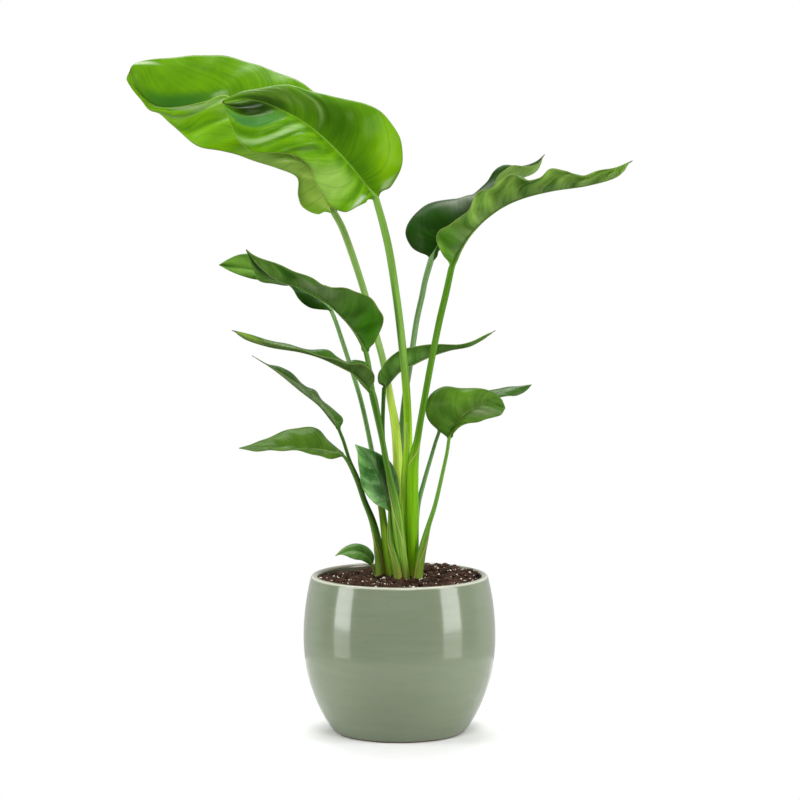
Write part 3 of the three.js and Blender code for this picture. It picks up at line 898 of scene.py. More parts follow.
LEAVES = (
    Leaf(
        "a", Tone.SUNNY, -1, Folds(0.10, 0.014, 9, 4.4, 0.3),
        stalk=((2, 20, 205, 6), (-1.5, 23, 339, 6.2), (-6, 27, 413, 5.4), (-11, 30, 440, 4.8),
            (-22.5, 36, 501, 4.7), (-28, 37, 522, 4.6), (-46, 38, 588, 4.5), (-66, 38, 650, 4.6),
            (-79, 38, 684, 4.6), (-88, 38, 700, 4.5)),
        keel=((-88.5, 38, 701), (-117, 44, 757), (-152, 50, 783), (-195, 60, 826),
            (-236, 74, 859), (-265, 82, 851), (-303, 92, 844), (-331, 98, 845), (-351, 104, 857),
            (-365, 110, 876), (-371, 114, 893)),
        near=((-93, 35, 703), (-110, 25, 699), (-131, 18, 709), (-136, 17, 724), (-138, 20, 748),
            (-185, 27, 767), (-239, 37, 784), (-270, 44, 789), (-312, 67, 822), (-328, 80, 835),
            (-343, 90, 841), (-354, 98, 854), (-369, 106, 872), (-375, 112, 884),
            (-371, 114, 893)),
        far=((-85, 41, 704), (-65, 62, 745), (-74, 80, 813), (-109, 90, 858), (-132, 94, 876),
            (-171, 102, 893), (-244, 114, 915), (-309, 119, 913), (-357, 121, 907),
            (-368, 119, 902), (-369, 115, 894)),
    ),
    Leaf(
        "b", Tone.SUNNY, -1, Folds(0.12, 0.014, 9, 3.6, 0.8),
        stalk=((11.5, 8, 207, 5.6), (9.5, 6, 286, 6), (9, 4, 341, 6), (11.5, 1, 389, 5.8),
            (10, -6, 450, 5.3), (3, -11, 531, 5.3), (-4.5, -12, 592, 5.1), (-14, -10, 652, 5.1),
            (-23, -8, 690, 4.9), (-31.5, -6, 720, 4.6)),
        keel=((-31.5, -6, 721), (-50, -12, 745), (-79, -24, 779), (-118, -42, 815),
            (-151, -58, 835), (-191, -78, 849), (-230, -98, 847)),
        near=((-35, -10, 720), (-54, -28, 711), (-72, -45, 703), (-91, -62, 711),
            (-109, -78, 741), (-119, -84, 766), (-145, -92, 779), (-178, -99, 780),
            (-198, -105, 785), (-210, -108, 799), (-221, -106, 825), (-230, -99, 845)),
        far=((-27, -3, 724), (-11, 2, 737), (3, 6, 765), (2, 6, 796), (-15, 2, 826),
            (-37, -6, 843), (-72, -16, 852), (-117, -30, 862), (-149, -45, 870),
            (-180, -62, 865), (-208, -80, 859), (-230, -97, 849)),
    ),
    Leaf(
        "c", Tone.DEEP, -1, Folds(0.06, 0.03, 6),
        stalk=((-6, 13, 206, 4), (-8, 15, 258, 4), (-14, 13.5, 326, 3.8), (-23.5, 9, 395, 3.4),
            (-29, 4, 422, 3.3), (-36.5, -3, 464, 3.3), (-41.5, -6, 498, 3.4),
            (-45, -6, 515, 3.4)),
        keel=((-45, -6, 516), (-60, -8, 543), (-84, -13, 570), (-106, -19, 589),
            (-132, -27, 603), (-159, -34, 611), (-183, -42, 629), (-203, -50, 654)),
        near=((-40, -8, 518), (-30, -22, 535), (-21, -40, 565), (-29, -46, 577), (-44, -50, 593),
            (-65, -52, 601), (-92, -53, 604), (-117, -54, 616), (-140, -54, 626),
            (-168, -53, 637), (-192, -51, 646), (-202, -50, 655)),
        far=((-49, -1, 517), (-50, 10, 537), (-67, 15, 564), (-87, 14, 580), (-110, 10, 595),
            (-134, 2, 606), (-152, -8, 605), (-170, -18, 607), (-188, -30, 613),
            (-195, -40, 629), (-204, -49, 654)),
    ),
    Leaf(
        "d", Tone.DEEP, 1, Folds(0.08, 0.03, 5),
        stalk=((6, 35, 203, 4.8), (5, 36, 282, 4.8), (2.5, 38, 392, 4), (6.5, 40, 446, 3.7),
            (13.5, 43, 487, 3.8), (23.5, 47, 555, 3.9), (31, 48, 589, 3.9), (35, 49, 609, 3.9),
            (43, 50, 637, 4.2)),
        keel=((43.5, 50, 638), (55, 54, 660), (76, 60, 685), (103, 67, 708), (133, 74, 731),
            (165, 82, 747), (187, 88, 757), (199, 93, 780)),
        near=((47, 47, 639), (54, 41, 650), (60, 36, 660), (76, 32, 684), (102, 36, 707),
            (124, 44, 727), (135, 54, 752), (152, 62, 764), (171, 70, 763), (189, 82, 767),
            (200, 92, 779)),
        far=((40, 54, 642), (28, 62, 646), (17, 70, 653), (8, 82, 672), (17, 94, 691),
            (35, 104, 711), (65, 108, 716), (97, 108, 723), (119, 107, 739), (130, 104, 758),
            (142, 103, 765), (166, 101, 763), (189, 98, 771), (199, 94, 781)),
    ),
    Leaf(
        "e", Tone.FRESH, 1, Folds(0.06, 0.035, 8, 2.8, 1.0),
        stalk=((17.5, -4, 209, 5), (17.5, -9, 247, 6.6), (17, -13, 289, 8), (17, -14, 343, 7.8),
            (18.5, -15, 370, 7), (23.5, -17, 395, 4.8), (28.5, -19, 425, 4.3),
            (43, -24, 506, 4.3), (53.5, -26, 559, 4.5), (61.5, -27, 593, 4.5),
            (69, -28, 628, 4.2)),
        keel=((69, -28, 629.5), (74, -29, 639), (82, -31, 656), (104, -34, 685),
            (132, -38, 707.5), (159, -42, 720.5), (199, -47, 731), (251, -52, 739),
            (288, -55, 751), (307, -57, 771)),
        near=((66, -31, 633), (58, -42, 645), (51, -54, 660), (49, -61, 672), (53, -66, 681),
            (70, -74, 688), (88, -80, 705), (103, -84, 727), (118, -85, 736), (135, -86, 746),
            (149, -86, 752), (168, -84, 745), (184, -82, 747), (197, -82, 761), (216, -80, 756),
            (236, -76, 751), (260, -71, 757), (284, -64, 762), (306, -58, 772)),
        far=((71, -24, 631), (76, -10, 652), (85, -2, 674), (105, 2, 700), (131, 2, 717),
            (161, 0, 728), (201, -6, 737), (247, -20, 744), (285, -38, 756), (308, -55, 769)),
    ),
    Leaf(
        "f", Tone.DEEP, -1, Folds(0.05, 0.02, 5),
        stalk=((8, -9, 209, 5.6), (4.5, -13, 234, 6.4), (-2, -19, 290, 7.2), (-6, -21, 317, 6),
            (-12, -23, 344, 4.8), (-18, -24, 371, 4), (-23, -25, 398, 3.8), (-34, -29, 452, 5),
            (-37, -30, 464, 4.6)),
        keel=((-37.5, -30, 465), (-46, -32, 473), (-59, -35, 488), (-79, -40, 499),
            (-105, -46, 511), (-132, -53, 519), (-171, -64, 526), (-203, -74, 537),
            (-221, -80, 547)),
        near=((-35, -34, 468), (-34, -48, 489), (-50, -56, 502), (-65, -60, 503),
            (-81, -63, 508), (-98, -66, 512), (-124, -70, 521), (-151, -75, 527),
            (-181, -80, 534), (-207, -82, 543), (-221, -81, 549)),
        far=((-35, -26, 468), (-35, -22, 487), (-43, -20, 501), (-59, -20, 505), (-71, -22, 503),
            (-83, -25, 510), (-95, -29, 519), (-119, -34, 520), (-145, -42, 527),
            (-174, -53, 534), (-200, -66, 543), (-220, -79, 550)),
    ),
    Leaf(
        "g", Tone.DEEP, 1, Folds(0.06, 0.02, 4),
        stalk=((0.5, 6, 207, 4.4), (-3.5, 6, 259, 4.2), (-9, 6, 300, 3.8), (-14, 5, 341, 3.2),
            (-19, 3, 375, 2.9), (-22, 1, 396, 2.7), (-22.5, 1, 423, 2.7), (-21, 2, 465, 2.8)),
        keel=((-21, 2, 466), (-14, 3, 474), (-2, 6, 487), (14, 10, 495), (40, 15, 507),
            (68, 20, 516), (95, 24, 521), (116, 28, 532), (131, 31, 542)),
        near=((-19, -1, 467), (-26, -5, 481), (-23, -4, 495), (-13, -3, 507), (1, -1, 517),
            (21, 1, 522), (54, 4, 525), (82, 9, 524), (98, 16, 528), (114, 24, 535),
            (130, 30, 543)),
        far=((-22, 5, 467), (-28, 12, 472), (-28, 18, 485), (-18, 22, 497), (-2, 25, 506),
            (21, 27, 513), (55, 29, 518), (89, 31, 521), (116, 32, 533), (131, 32, 541)),
    ),
    Leaf(
        "h", Tone.DEEP, -1, Folds(0.05, 0.03, 5),
        stalk=((-22.5, 18, 205, 3.9), (-25, 18, 230, 3.8), (-28, 16, 258, 3.4),
            (-35, 13, 285, 2.9), (-46.5, 11, 313, 2.5), (-55, 9, 340, 2.3), (-67.5, 7, 368, 2.3),
            (-76, 5, 395, 2.3), (-81.5, 4, 409, 2.2)),
        keel=((-82, 4, 410), (-90, 2, 421), (-107, -2, 442), (-134, -8, 464), (-160, -14, 486),
            (-179, -18, 500), (-198, -22, 511)),
        near=((-84, 1, 412), (-88, -8, 427), (-97, -14, 439), (-116, -20, 459), (-141, -24, 477),
            (-164, -24, 492), (-181, -22, 501), (-198, -23, 512)),
        far=((-79, 7, 411), (-77, 14, 423), (-86, 18, 433), (-103, 18, 446), (-113, 17, 461),
            (-126, 14, 466), (-141, 8, 482), (-161, -2, 495), (-178, -12, 499), (-197, -21, 512)),
    ),
    Leaf(
        "i", Tone.DEEP, -1, Folds(0.08, 0.03, 4),
        stalk=((-27, 10, 206, 3.5), (-29, 10, 231, 3.3), (-33, 8, 259, 3), (-39, 6, 286, 2.7),
            (-49.5, 4, 314, 2.3), (-58.5, 1, 341, 2.2), (-70, -2, 367, 2.2),
            (-75.5, -4, 375, 2.2)),
        keel=((-76, -4, 376), (-87, -6, 379), (-104, -10, 383), (-127, -16, 386),
            (-153, -24, 388), (-184, -34, 388), (-214, -42, 389)),
        near=((-77, -7, 374), (-93, -24, 373), (-113, -38, 380), (-136, -46, 386),
            (-165, -50, 387), (-192, -49, 386), (-214, -43, 388)),
        far=((-75, -1, 378), (-84, 10, 383), (-97, 16, 395), (-109, 18, 407), (-124, 16, 412),
            (-144, 10, 410), (-172, 0, 401), (-194, -16, 393), (-214, -41, 390)),
    ),
    Leaf(
        "j", Tone.FRESH, 1, Folds(0.10, 0.03, 4),
        stalk=((24.5, -18, 211, 5.2), (27.5, -18.5, 235, 5.4), (32, -18, 256, 4.8),
            (38.5, -17, 280, 3.4), (47.5, -16, 308, 2.9), (58.5, -13, 355, 2.5),
            (64.5, -10, 383, 2.3), (66.5, -8, 398, 2.3)),
        keel=((67, -8, 399), (75, -6, 414), (87, 0, 430), (101, 8, 438), (120, 20, 443),
            (144, 40, 435)),
        near=((69, -10, 401), (79, -14, 413), (91, -12, 419), (108, -6, 421), (121, 2, 425),
            (136, 18, 427), (144, 39, 434)),
        far=((64, -8, 401), (52, -10, 410), (40, -10, 422), (35, -6, 437), (41, 4, 456),
            (59, 14, 467), (79, 18, 464), (104, 26, 464), (123, 32, 459), (138, 37, 449),
            (144, 41, 437)),
    ),
    Leaf(
        "k", Tone.DEEP, -1, Folds(-0.1, 0.02, 3),
        stalk=((-0.5, -20, 211, 4.6), (-6, -19, 235, 4.5), (-10.5, -16, 255, 4),
            (-12.5, -11, 278, 3.2), (-13, -10, 301, 2.4)),
        keel=((-13, -10, 302), (-21, -8, 326), (-33, -8, 355), (-45, -12, 375), (-60, -18, 392)),
        near=((-15, -12, 302), (-34, -20, 313), (-48, -24, 331), (-54, -26, 358),
            (-56, -24, 381), (-60, -19, 390)),
        far=((-10, -7, 303), (-1, -4, 318), (-1, -2, 339), (-11, -2, 365), (-26, -4, 377),
            (-45, -10, 386), (-59, -17, 393)),
    ),
    Leaf(
        "l", Tone.DEEP, 1, Folds(0.08, 0.02, 4),
        stalk=((22.5, 11, 206, 4), (22.5, 12, 258, 3.8), (23, 14, 285, 3.6), (26, 17, 309, 3.2),
            (34, 23, 339, 2.9), (46, 33, 379, 2.5), (50, 36, 392, 2.4), (54, 38, 403, 2.4)),
        keel=((54, 38, 404), (66, 46, 425), (85, 56, 442), (110, 68, 450), (138, 80, 455),
            (164, 90, 459), (183, 97, 463)),
        near=((56, 36, 406), (80, 38, 419), (107, 46, 435), (129, 60, 446), (148, 72, 449),
            (162, 82, 449), (175, 90, 455), (183, 96, 462)),
        far=((52, 42, 405), (50, 56, 424), (64, 70, 444), (92, 82, 451), (121, 90, 455),
            (146, 94, 459), (167, 96, 461), (183, 98, 464)),
    ),
    Leaf(
        "m", Tone.FRESH, -1, Folds(0.1, 0.02, 3),
        stalk=((-30, 19, 204, 1.7), (-33.5, 17, 214, 1.7), (-37.5, 14, 224, 1.7)),
        keel=((-38, 14, 225), (-45, 10, 237), (-60, 4, 244), (-75, -4, 243), (-87, -12, 240)),
        near=((-39, 11, 224), (-51, -2, 232), (-64, -10, 236), (-77, -14, 242), (-87, -13, 239)),
        far=((-35, 17, 226), (-35, 20, 236), (-43, 20, 247), (-60, 14, 253), (-75, 4, 249),
            (-86, -11, 241)),
    ),
    Leaf(
        "n", Tone.DEEP, -1, Folds(0.08, 0.02, 5),
        stalk=((-12, 18, 205, 5.2), (-17.5, 17, 251, 5), (-22.5, 18, 292, 4.5),
            (-30.5, 22, 339, 3.6), (-40.5, 27, 393, 3.2), (-52.5, 32, 447, 3.1),
            (-65, 36, 488, 3), (-78, 38, 528, 3), (-87.5, 39, 556, 2.9), (-93, 40, 569, 2.8)),
        keel=((-93, 40, 570), (-111, 42, 584), (-135, 42, 597), (-169, 38, 614), (-205, 32, 625),
            (-244, 24, 631)),
        near=((-90, 36, 569), (-105, 31, 570), (-122, 27, 573), (-136, 25, 585), (-145, 23, 599),
            (-156, 22, 607), (-177, 20, 610), (-202, 20, 613), (-225, 21, 621), (-244, 24, 629)),
        far=((-90, 45, 574), (-93, 56, 589), (-111, 62, 603), (-136, 62, 615), (-163, 58, 626),
            (-187, 50, 637), (-205, 41, 645), (-218, 34, 644), (-230, 29, 639), (-244, 25, 632)),
    ),
)

# Each leaf's colours: upper side, underside and stalk, from dark to light. Most of its patches
# paint light: shade in hollows and folds, highlights, gloss bands, sheen, and light on parts
# that other leaves shade; some are its own colour.
LEAF_LOOKS = {
    "a": LeafFinish(
        (0x467C10, 0x70A60A), (0x5A8A2C, 0x7EA850), (0x76A24A, 0xA8CA70),
        clasp=(0xBEE050, 0xE0F86C), clasp_top=470, rib=0xA6BC62, rib_reach=2.4,
        margin=0x8C7A48, shade=(0.1, 0.3), patch=0.3, streak=0.12, fold=0.36,
        sheen=0.1, gloss=0.05, bloom_and_sheen=0.1,
        # Painted shade in the hollow beside the midrib, painted highlights and sheen near the tip,
        # and painted light on the lobe that b shades.
        light_and_tints=(LightAndTint(1, 0x347024, (1.04, 0.3), (0.08, 0.22), 0.9),
               LightAndTint(1, 0xA8D090, (0.84, 0.06), (0.06, 0.12), 0.5),
               LightAndTint(1, 0xD6EABC, (0.99, 0.06), (0.92, 0.14), 0.75),
               LightAndTint(-1, 0x8E9C78, (0.95, 0.25), (0.25, 0.25), 0.6),
               LightAndTint(-1, 0x5A7434, (0.8, 0.06), (0.7, 0.6), 0.6),
               LightAndTint(-1, 0x84C428, (0.6, 0.08), (0.7, 0.6), 0.5),
               LightAndTint(-1, 0xA4C86C, (0.3, 0.2), (0.8, 0.4), 0.6),
               LightAndTint(-1, 0xDEFF78, (0.12, 0.3), (0.4, 0.8), 1.0),
               LightAndTint(-1, 0xA4E03C, (0.05, 0.1), (0.85, 0.4), 0.85))),
    "b": LeafFinish(
        (0x42780E, 0x72AC0A), (0x5A8A2C, 0x7EA850), (0x689A3C, 0x8CBA4E),
        clasp=(0x80BA1C, 0xA6DE30), clasp_top=480, rib=0x7CA834, rib_reach=3.4, rib_run=0.75,
        shade=(0.1, 0.15), patch=0.3, streak=0.12, fold=0.26, sheen=0.1, gloss=0.05,
        # Painted shade in the hollow near the tip and along a crease, a painted teal sheen, and a
        # painted gloss band across the near half.
        light_and_tints=(LightAndTint(-1, 0x0C2402, (1.21, 0.24), (0.25, 0.7), 0.97),
               LightAndTint(-1, 0x4E9048, (1.03, 0.09), (0.5, 0.6), 0.8),
               LightAndTint(-1, 0xB4D890, (0.83, 0.042), (0.6, 0.6), 0.65),
               LightAndTint(-1, 0x3A6014, (0.61, 0.035), (0.75, 0.5), 0.8),
               LightAndTint(-1, 0x9EC25E, (0.38, 0.17), (0.65, 0.6), 0.65),
               LightAndTint(-1, 0xD8E8C4, (0.13, 0.05), (0.75, 0.3), 0.75),
               LightAndTint(1, 0x345E06, (0.66, 0.34), (0.5, 0.7), 0.9),
               LightAndTint(1, 0x1C3C04, (1.16, 0.36), (0.1, 0.55), 0.95),
               LightAndTint(1, 0x8CC00A, (0.22, 0.22), (0.7, 0.5), 0.6),
               LightAndTint(1, 0x4A6A20, (0.98, 0.28), (0.6, 0.5), 0.85),
               LightAndTint(1, 0x8FA860, (0.73, 0.03), (0.5, 0.6), 0.35),
               LightAndTint(1, 0x2C4E0C, (0.68, 0.02), (0.6, 0.5), 0.6),
               LightAndTint(1, 0xD0E4B0, (0.09, 0.05), (0.7, 0.3), 0.5))),
    "c": LeafFinish(
        (0x28590E, 0x42781A), (0x35640E, 0x68963A), (0x3A6E1C, 0x66963A), bloom_and_sheen=0.06,
        gloss=0.02, sheen=0.06, shade=(0.2, 0.7),
        # Painted shade on the far half at the tip and over its lobe, and a painted grey sheen across
        # the near half.
        light_and_tints=(LightAndTint(1, 0x0E3008, (1.1, 0.2), (0.3, 0.7), 0.95),
               LightAndTint(1, 0x144404, (0.5, 0.4), (0.5, 0.9), 0.9),
               LightAndTint(-1, 0x3A780A, (0.18, 0.3), (0.5, 0.8), 0.95),
               LightAndTint(-1, 0x8A9A70, (0.64, 0.22), (0.35, 0.5), 0.55),
               LightAndTint(-1, 0x2C5A0C, (0.84, 0.1), (0.6, 0.5), 0.8))),
    "d": LeafFinish(
        (0x14340A, 0x254C10), (0x5C8630, 0x8CAE58), (0x5A8248, 0x86A870), gloss=0.02,
        # The grey patch on the far half is a painted sheen.
        sheen=0.06, light_and_tints=(LightAndTint(1, 0x707A66, (0.62, 0.25), (0.4, 0.5), 0.85),)),
    "e": LeafFinish(
        (0x2E5C14, 0x4A7A22), (0x3A6A10, 0x8EBA48), (0x447612, 0x5C901E),
        clasp=(0x68A20C, 0x80BE10), clasp_top=385, streak=0.2, fold=0.42,
        light_and_tints=(LightAndTint(-1, 0x3A7206, (0.14, 0.2), (0.5, 0.8), 0.75),)),
    "f": LeafFinish(
        (0x335C1C, 0x4E7A2C), (0x34581C, 0x5E8038), (0x345E14, 0x5C8A30),
        clasp=(0x5E9028, 0x90BE48), clasp_top=318, dry_from=0.972, bloom_and_sheen=0.04,
        light_and_tints=(LightAndTint(0, 0x8AAA38, (0.95, 0.12), (0.5, 0.9), 0.7),)),
    "g": LeafFinish(
        (0x2C5618, 0x4E7C26), (0x346418, 0x5E8A34), (0x1F4210, 0x4A7A24), bloom_and_sheen=0.1,
        light_and_tints=(LightAndTint(0, 0x16380C, (0.0, 0.12), (0.8, 0.5), 0.35),
               LightAndTint(-1, 0x86BC54, (0.28, 0.12), (0.5, 0.5), 0.7))),
    "h": LeafFinish(
        (0x335C1C, 0x4E7A2C), (0x54763A, 0x8EA874), (0x2E5A1A, 0x54842E),
        clasp=(0x4E6424, 0x6E8838), clasp_top=260),
    "i": LeafFinish(
        (0x355A14, 0x547824), (0x4C7430, 0x7E9C5A), (0x4E7A30, 0x7CA454), rib_run=0.4,
        rib_reach=1.0, shade=(0.1, 0.1), gloss=0.02, sheen=0.06),
    "j": LeafFinish(
        (0x365E18, 0x587F28), (0x4C7430, 0x7E9C5A), (0x4E841E, 0x74A63E),
        clasp=(0x4E7418, 0x78A034), clasp_top=270, rib=0x748A38, rib_run=0.6, gloss=0.02,
        sheen=0.08,
        # The grey patch on the near half is a painted sheen.
        light_and_tints=(LightAndTint(1, 0x6A9A28, (0.68, 0.26), (0.5, 0.6), 0.5),
               LightAndTint(-1, 0x74825E, (0.75, 0.3), (0.5, 0.6), 0.6))),
    "k": LeafFinish(
        (0x2C6822, 0x96CC82), (0x3E6A34, 0x6C9460), (0x3A6A1C, 0x66962E), rib=0x2E6628,
        rib_reach=0.8, gloss=0.1, patch=0.8, streak=0.12, shade=(0.2, 0.6),
        light_and_tints=(LightAndTint(0, 0x7AB45C, (0.95, 0.2), (0.5, 0.8), 0.6),
               LightAndTint(1, 0x0A2C08, (0.5, 0.8), (0.4, 0.9), 0.9),
               LightAndTint(-1, 0x1A4816, (0.4, 0.2), (0.1, 0.5), 0.7),
               LightAndTint(-1, 0xF4F8F0, (0.85, 0.02), (0.2, 0.04), 1.0),
               LightAndTint(-1, 0xF4F8F0, (0.3, 0.02), (0.5, 0.04), 1.0))),
    "l": LeafFinish((0x264C14, 0x426828), (0x4C7430, 0x7E9C5A), (0x4A783C, 0x749E62)),
    "m": LeafFinish(
        (0x3E6C24, 0x608A40), (0x4C7430, 0x86A066), (0x4E7A30, 0x7CA454), rib=0x6E9A4C,
        rib_reach=1.0, shade=(0.15, 0.15)),
    "n": LeafFinish(
        (0x1A420A, 0x346214), (0x42701E, 0x5E8838), (0x64964A, 0x98C27E),
        clasp=(0x98D42A, 0xBCF448), clasp_top=320, rib=0x5A8636, rib_run=0.6, gloss=0.02,
        sheen=0.06, shade=(0.05, 0.05), bloom_and_sheen=0.15,
        light_and_tints=(LightAndTint(0, 0x76A63E, (0.95, 0.25), (0.5, 0.9), 0.85),
               LightAndTint(0, 0x143606, (0.25, 0.3), (0.5, 0.9), 0.85))),
}


@dataclass(frozen=True)
class Sheath:
    """The thin skirt that clasps the foot of one stalk; its margins part on the way up.

    top is its height, and parting the share of it where the margins start to part. facing is
    where it opens, in degrees from +X towards +Y, and gape how wide it opens at the soil, in
    degrees. flare is how far it stands off the stalk down there.
    """

    leaf: str
    top: float
    facing: float
    parting: float
    flare: float
    gape: float = 60
    dry: bool = False


SHEATHS = (
    Sheath("a", 500, 172, 0.75, 0.6), Sheath("e", 396, 165, 0.8, 0.9),
    Sheath("f", 352, 2, 0.3, 1.4), Sheath("h", 300, -8, 0.3, 1.9),
    Sheath("i", 270, 60, 0.3, 1.2), Sheath("j", 285, 176, 0.3, 1.4),
    Sheath("k", 296, -40, 0.4, 1.6), Sheath("n", 330, 30, 0.4, 1.6),
    Sheath("d", 300, 90, 0.3, 1.2), Sheath("l", 280, 40, 0.3, 1.2),
    Sheath("b", 420, 70, 0.5, 0.6), Sheath("j", 220, 135, 0.3, 4.6, 290, True),
)


@dataclass(frozen=True)
class BladeForm:
    """What all blades share, in millimetres and shares of a blade's length.

    crowd is how far the rows draw together at both ends, and spread how far the columns do at
    the midrib. full_pleat is the height at which a pleat's painted light and shade show in full.
    gauges are the places where a blade's width is measured.
    """

    thickness: float = 0.9
    tip: float = 0.998
    crowd: float = 0.25
    flat_foot: float = 0.05
    flat_tip: float = 0.06
    spread: float = 1.25
    cell: float = 2.6
    ripple: float = 0.5
    full_pleat: float = 0.036
    least_rows: int = 24
    least_columns: int = 8
    gauges: tuple[float, ...] = (0.25, 0.4, 0.55, 0.7)


class LeafSheet:
    """The middle sheet of one blade, lofted between its midrib and its two edges.

    NEAR_PHASE is how far the near half's pleats are out of step. WAVER is how fast the edges
    ripple along and across. DRIFT is how far and how fast the pleats wander. RIDGES gives the
    shares of the sharp and the soft pleats, and where the soft ones start.
    """

    NEAR_PHASE = 0.3
    WAVER = (9, 1.3)
    DRIFT = (0.35, 5)
    RIDGES = (0.8, 0.2, 1)
    BESIDE_RIB = 0.06

    def __init__(self, leaf: Leaf, form: BladeForm) -> None:
        """Measures the leaf's three curves.

        Args:
            leaf: the leaf.
            form: what all blades share.
        """
        self.leaf = leaf
        self.form = form
        curves = (leaf.keel, leaf.near, leaf.far)
        apex = sum((Vector(curve[-1]) for curve in curves), Vector()) / len(curves)
        self.keel, self.near, self.far = (Path((*curve[:-1], apex)) for curve in curves)
        self.half_width = max((self.far.at(s) - self.near.at(s)).length
                              for s in form.gauges) / 2
        self.sweep = (VEIN_SLANT * (self.half_width * MM) ** VEIN_CURVE
                      / (self.keel.length * MM))

    def row(self, along: float) -> Callable[[float], Vector]:
        """Prepares one row of the sheet.

        Args:
            along: the share of the blade's length.

        Returns:
            A function from across, -1 at the near edge and 1 at the far one, to a point in
            millimetres.
        """
        form, leaf = self.form, self.leaf
        near, far = self.near.at(along), self.far.at(along)
        foot = 1 - ease(along, 0, form.flat_foot)
        tip = ease(along, 1 - form.flat_tip, 1)
        middle = self.keel.at(along).lerp(near.lerp(far, 0.5), tip)
        heading = self.keel.heading(along)
        open_half = (far - near) / 2
        calm = 1 - max(foot, tip)
        arms = {-1: (near - middle).lerp(-open_half, foot), 1: (far - middle).lerp(open_half, foot)}
        ups = {sign: heading.cross(arm).normalized() * leaf.side * sign
               for sign, arm in arms.items()}

        def point(across: float) -> Vector:
            """Finds a point on this row.

            Args:
                across: the place from the near edge to the far one.

            Returns:
                The point in millimetres.
            """
            sign = -1 if across < 0 else 1
            out = abs(across)
            bulge = math.sin(math.pi * out)
            lift = (leaf.folds.arch * bulge
                    + leaf.folds.pleat * out ** 1.5 * math.sin(self._turn(across, along))
                    + leaf.folds.inside(sign) * leaf.folds.pleat * bulge
                    * self.crease(across, along))
            waver = noise.noise(Vector((along * self.WAVER[0], across * self.WAVER[1],
                                        ord(leaf.name))))
            lift = lift * arms[sign].length + form.ripple * out ** 3 * waver
            return middle + arms[sign] * out + ups[sign] * (calm * lift)

        return point

    def _turn(self, across: float, along: float, drift: float = 0) -> float:
        """Returns the pleats' angle at a place, which differs between the halves."""
        phase = self.NEAR_PHASE if across < 0 else 0
        return TURN * (self.leaf.folds.pleats * along + drift + phase)

    def swept(self, across: float, along: float) -> float:
        """Returns the share of the blade where the side vein at this place meets the edge."""
        lean = VEIN_LEAN[0] + VEIN_LEAN[1] * along
        return along + self.sweep * lean * (1 - abs(across) ** VEIN_CURVE)

    def crease(self, across: float, along: float) -> float:
        """Finds the height of the swept pleats between the midrib and the edge.

        Args:
            across: the place from the near edge, -1, to the far one, 1.
            along: the share of the blade's length.

        Returns:
            The height, from -1 to 1.
        """
        swept = self.swept(across, along)
        seed = ord(self.leaf.name) + (0.5 if across < 0 else 0)
        drift = self.DRIFT[0] * noise.noise(Vector((swept * self.DRIFT[1], seed, 0)))
        turn = self._turn(across, swept, drift)
        sharp, soft, start = self.RIDGES
        return sharp * (2 * abs(math.cos(turn / 2)) - 1) + soft * math.sin(2 * turn + start)

    def up(self, along: float) -> Vector:
        """Finds the direction out of the upper side at the midrib.

        Args:
            along: the share of the blade's length.

        Returns:
            The unit vector.
        """
        row = self.row(along)
        over = (row(self.BESIDE_RIB) - row(-self.BESIDE_RIB)).normalized()
        return self.keel.heading(along).cross(over).normalized() * self.leaf.side


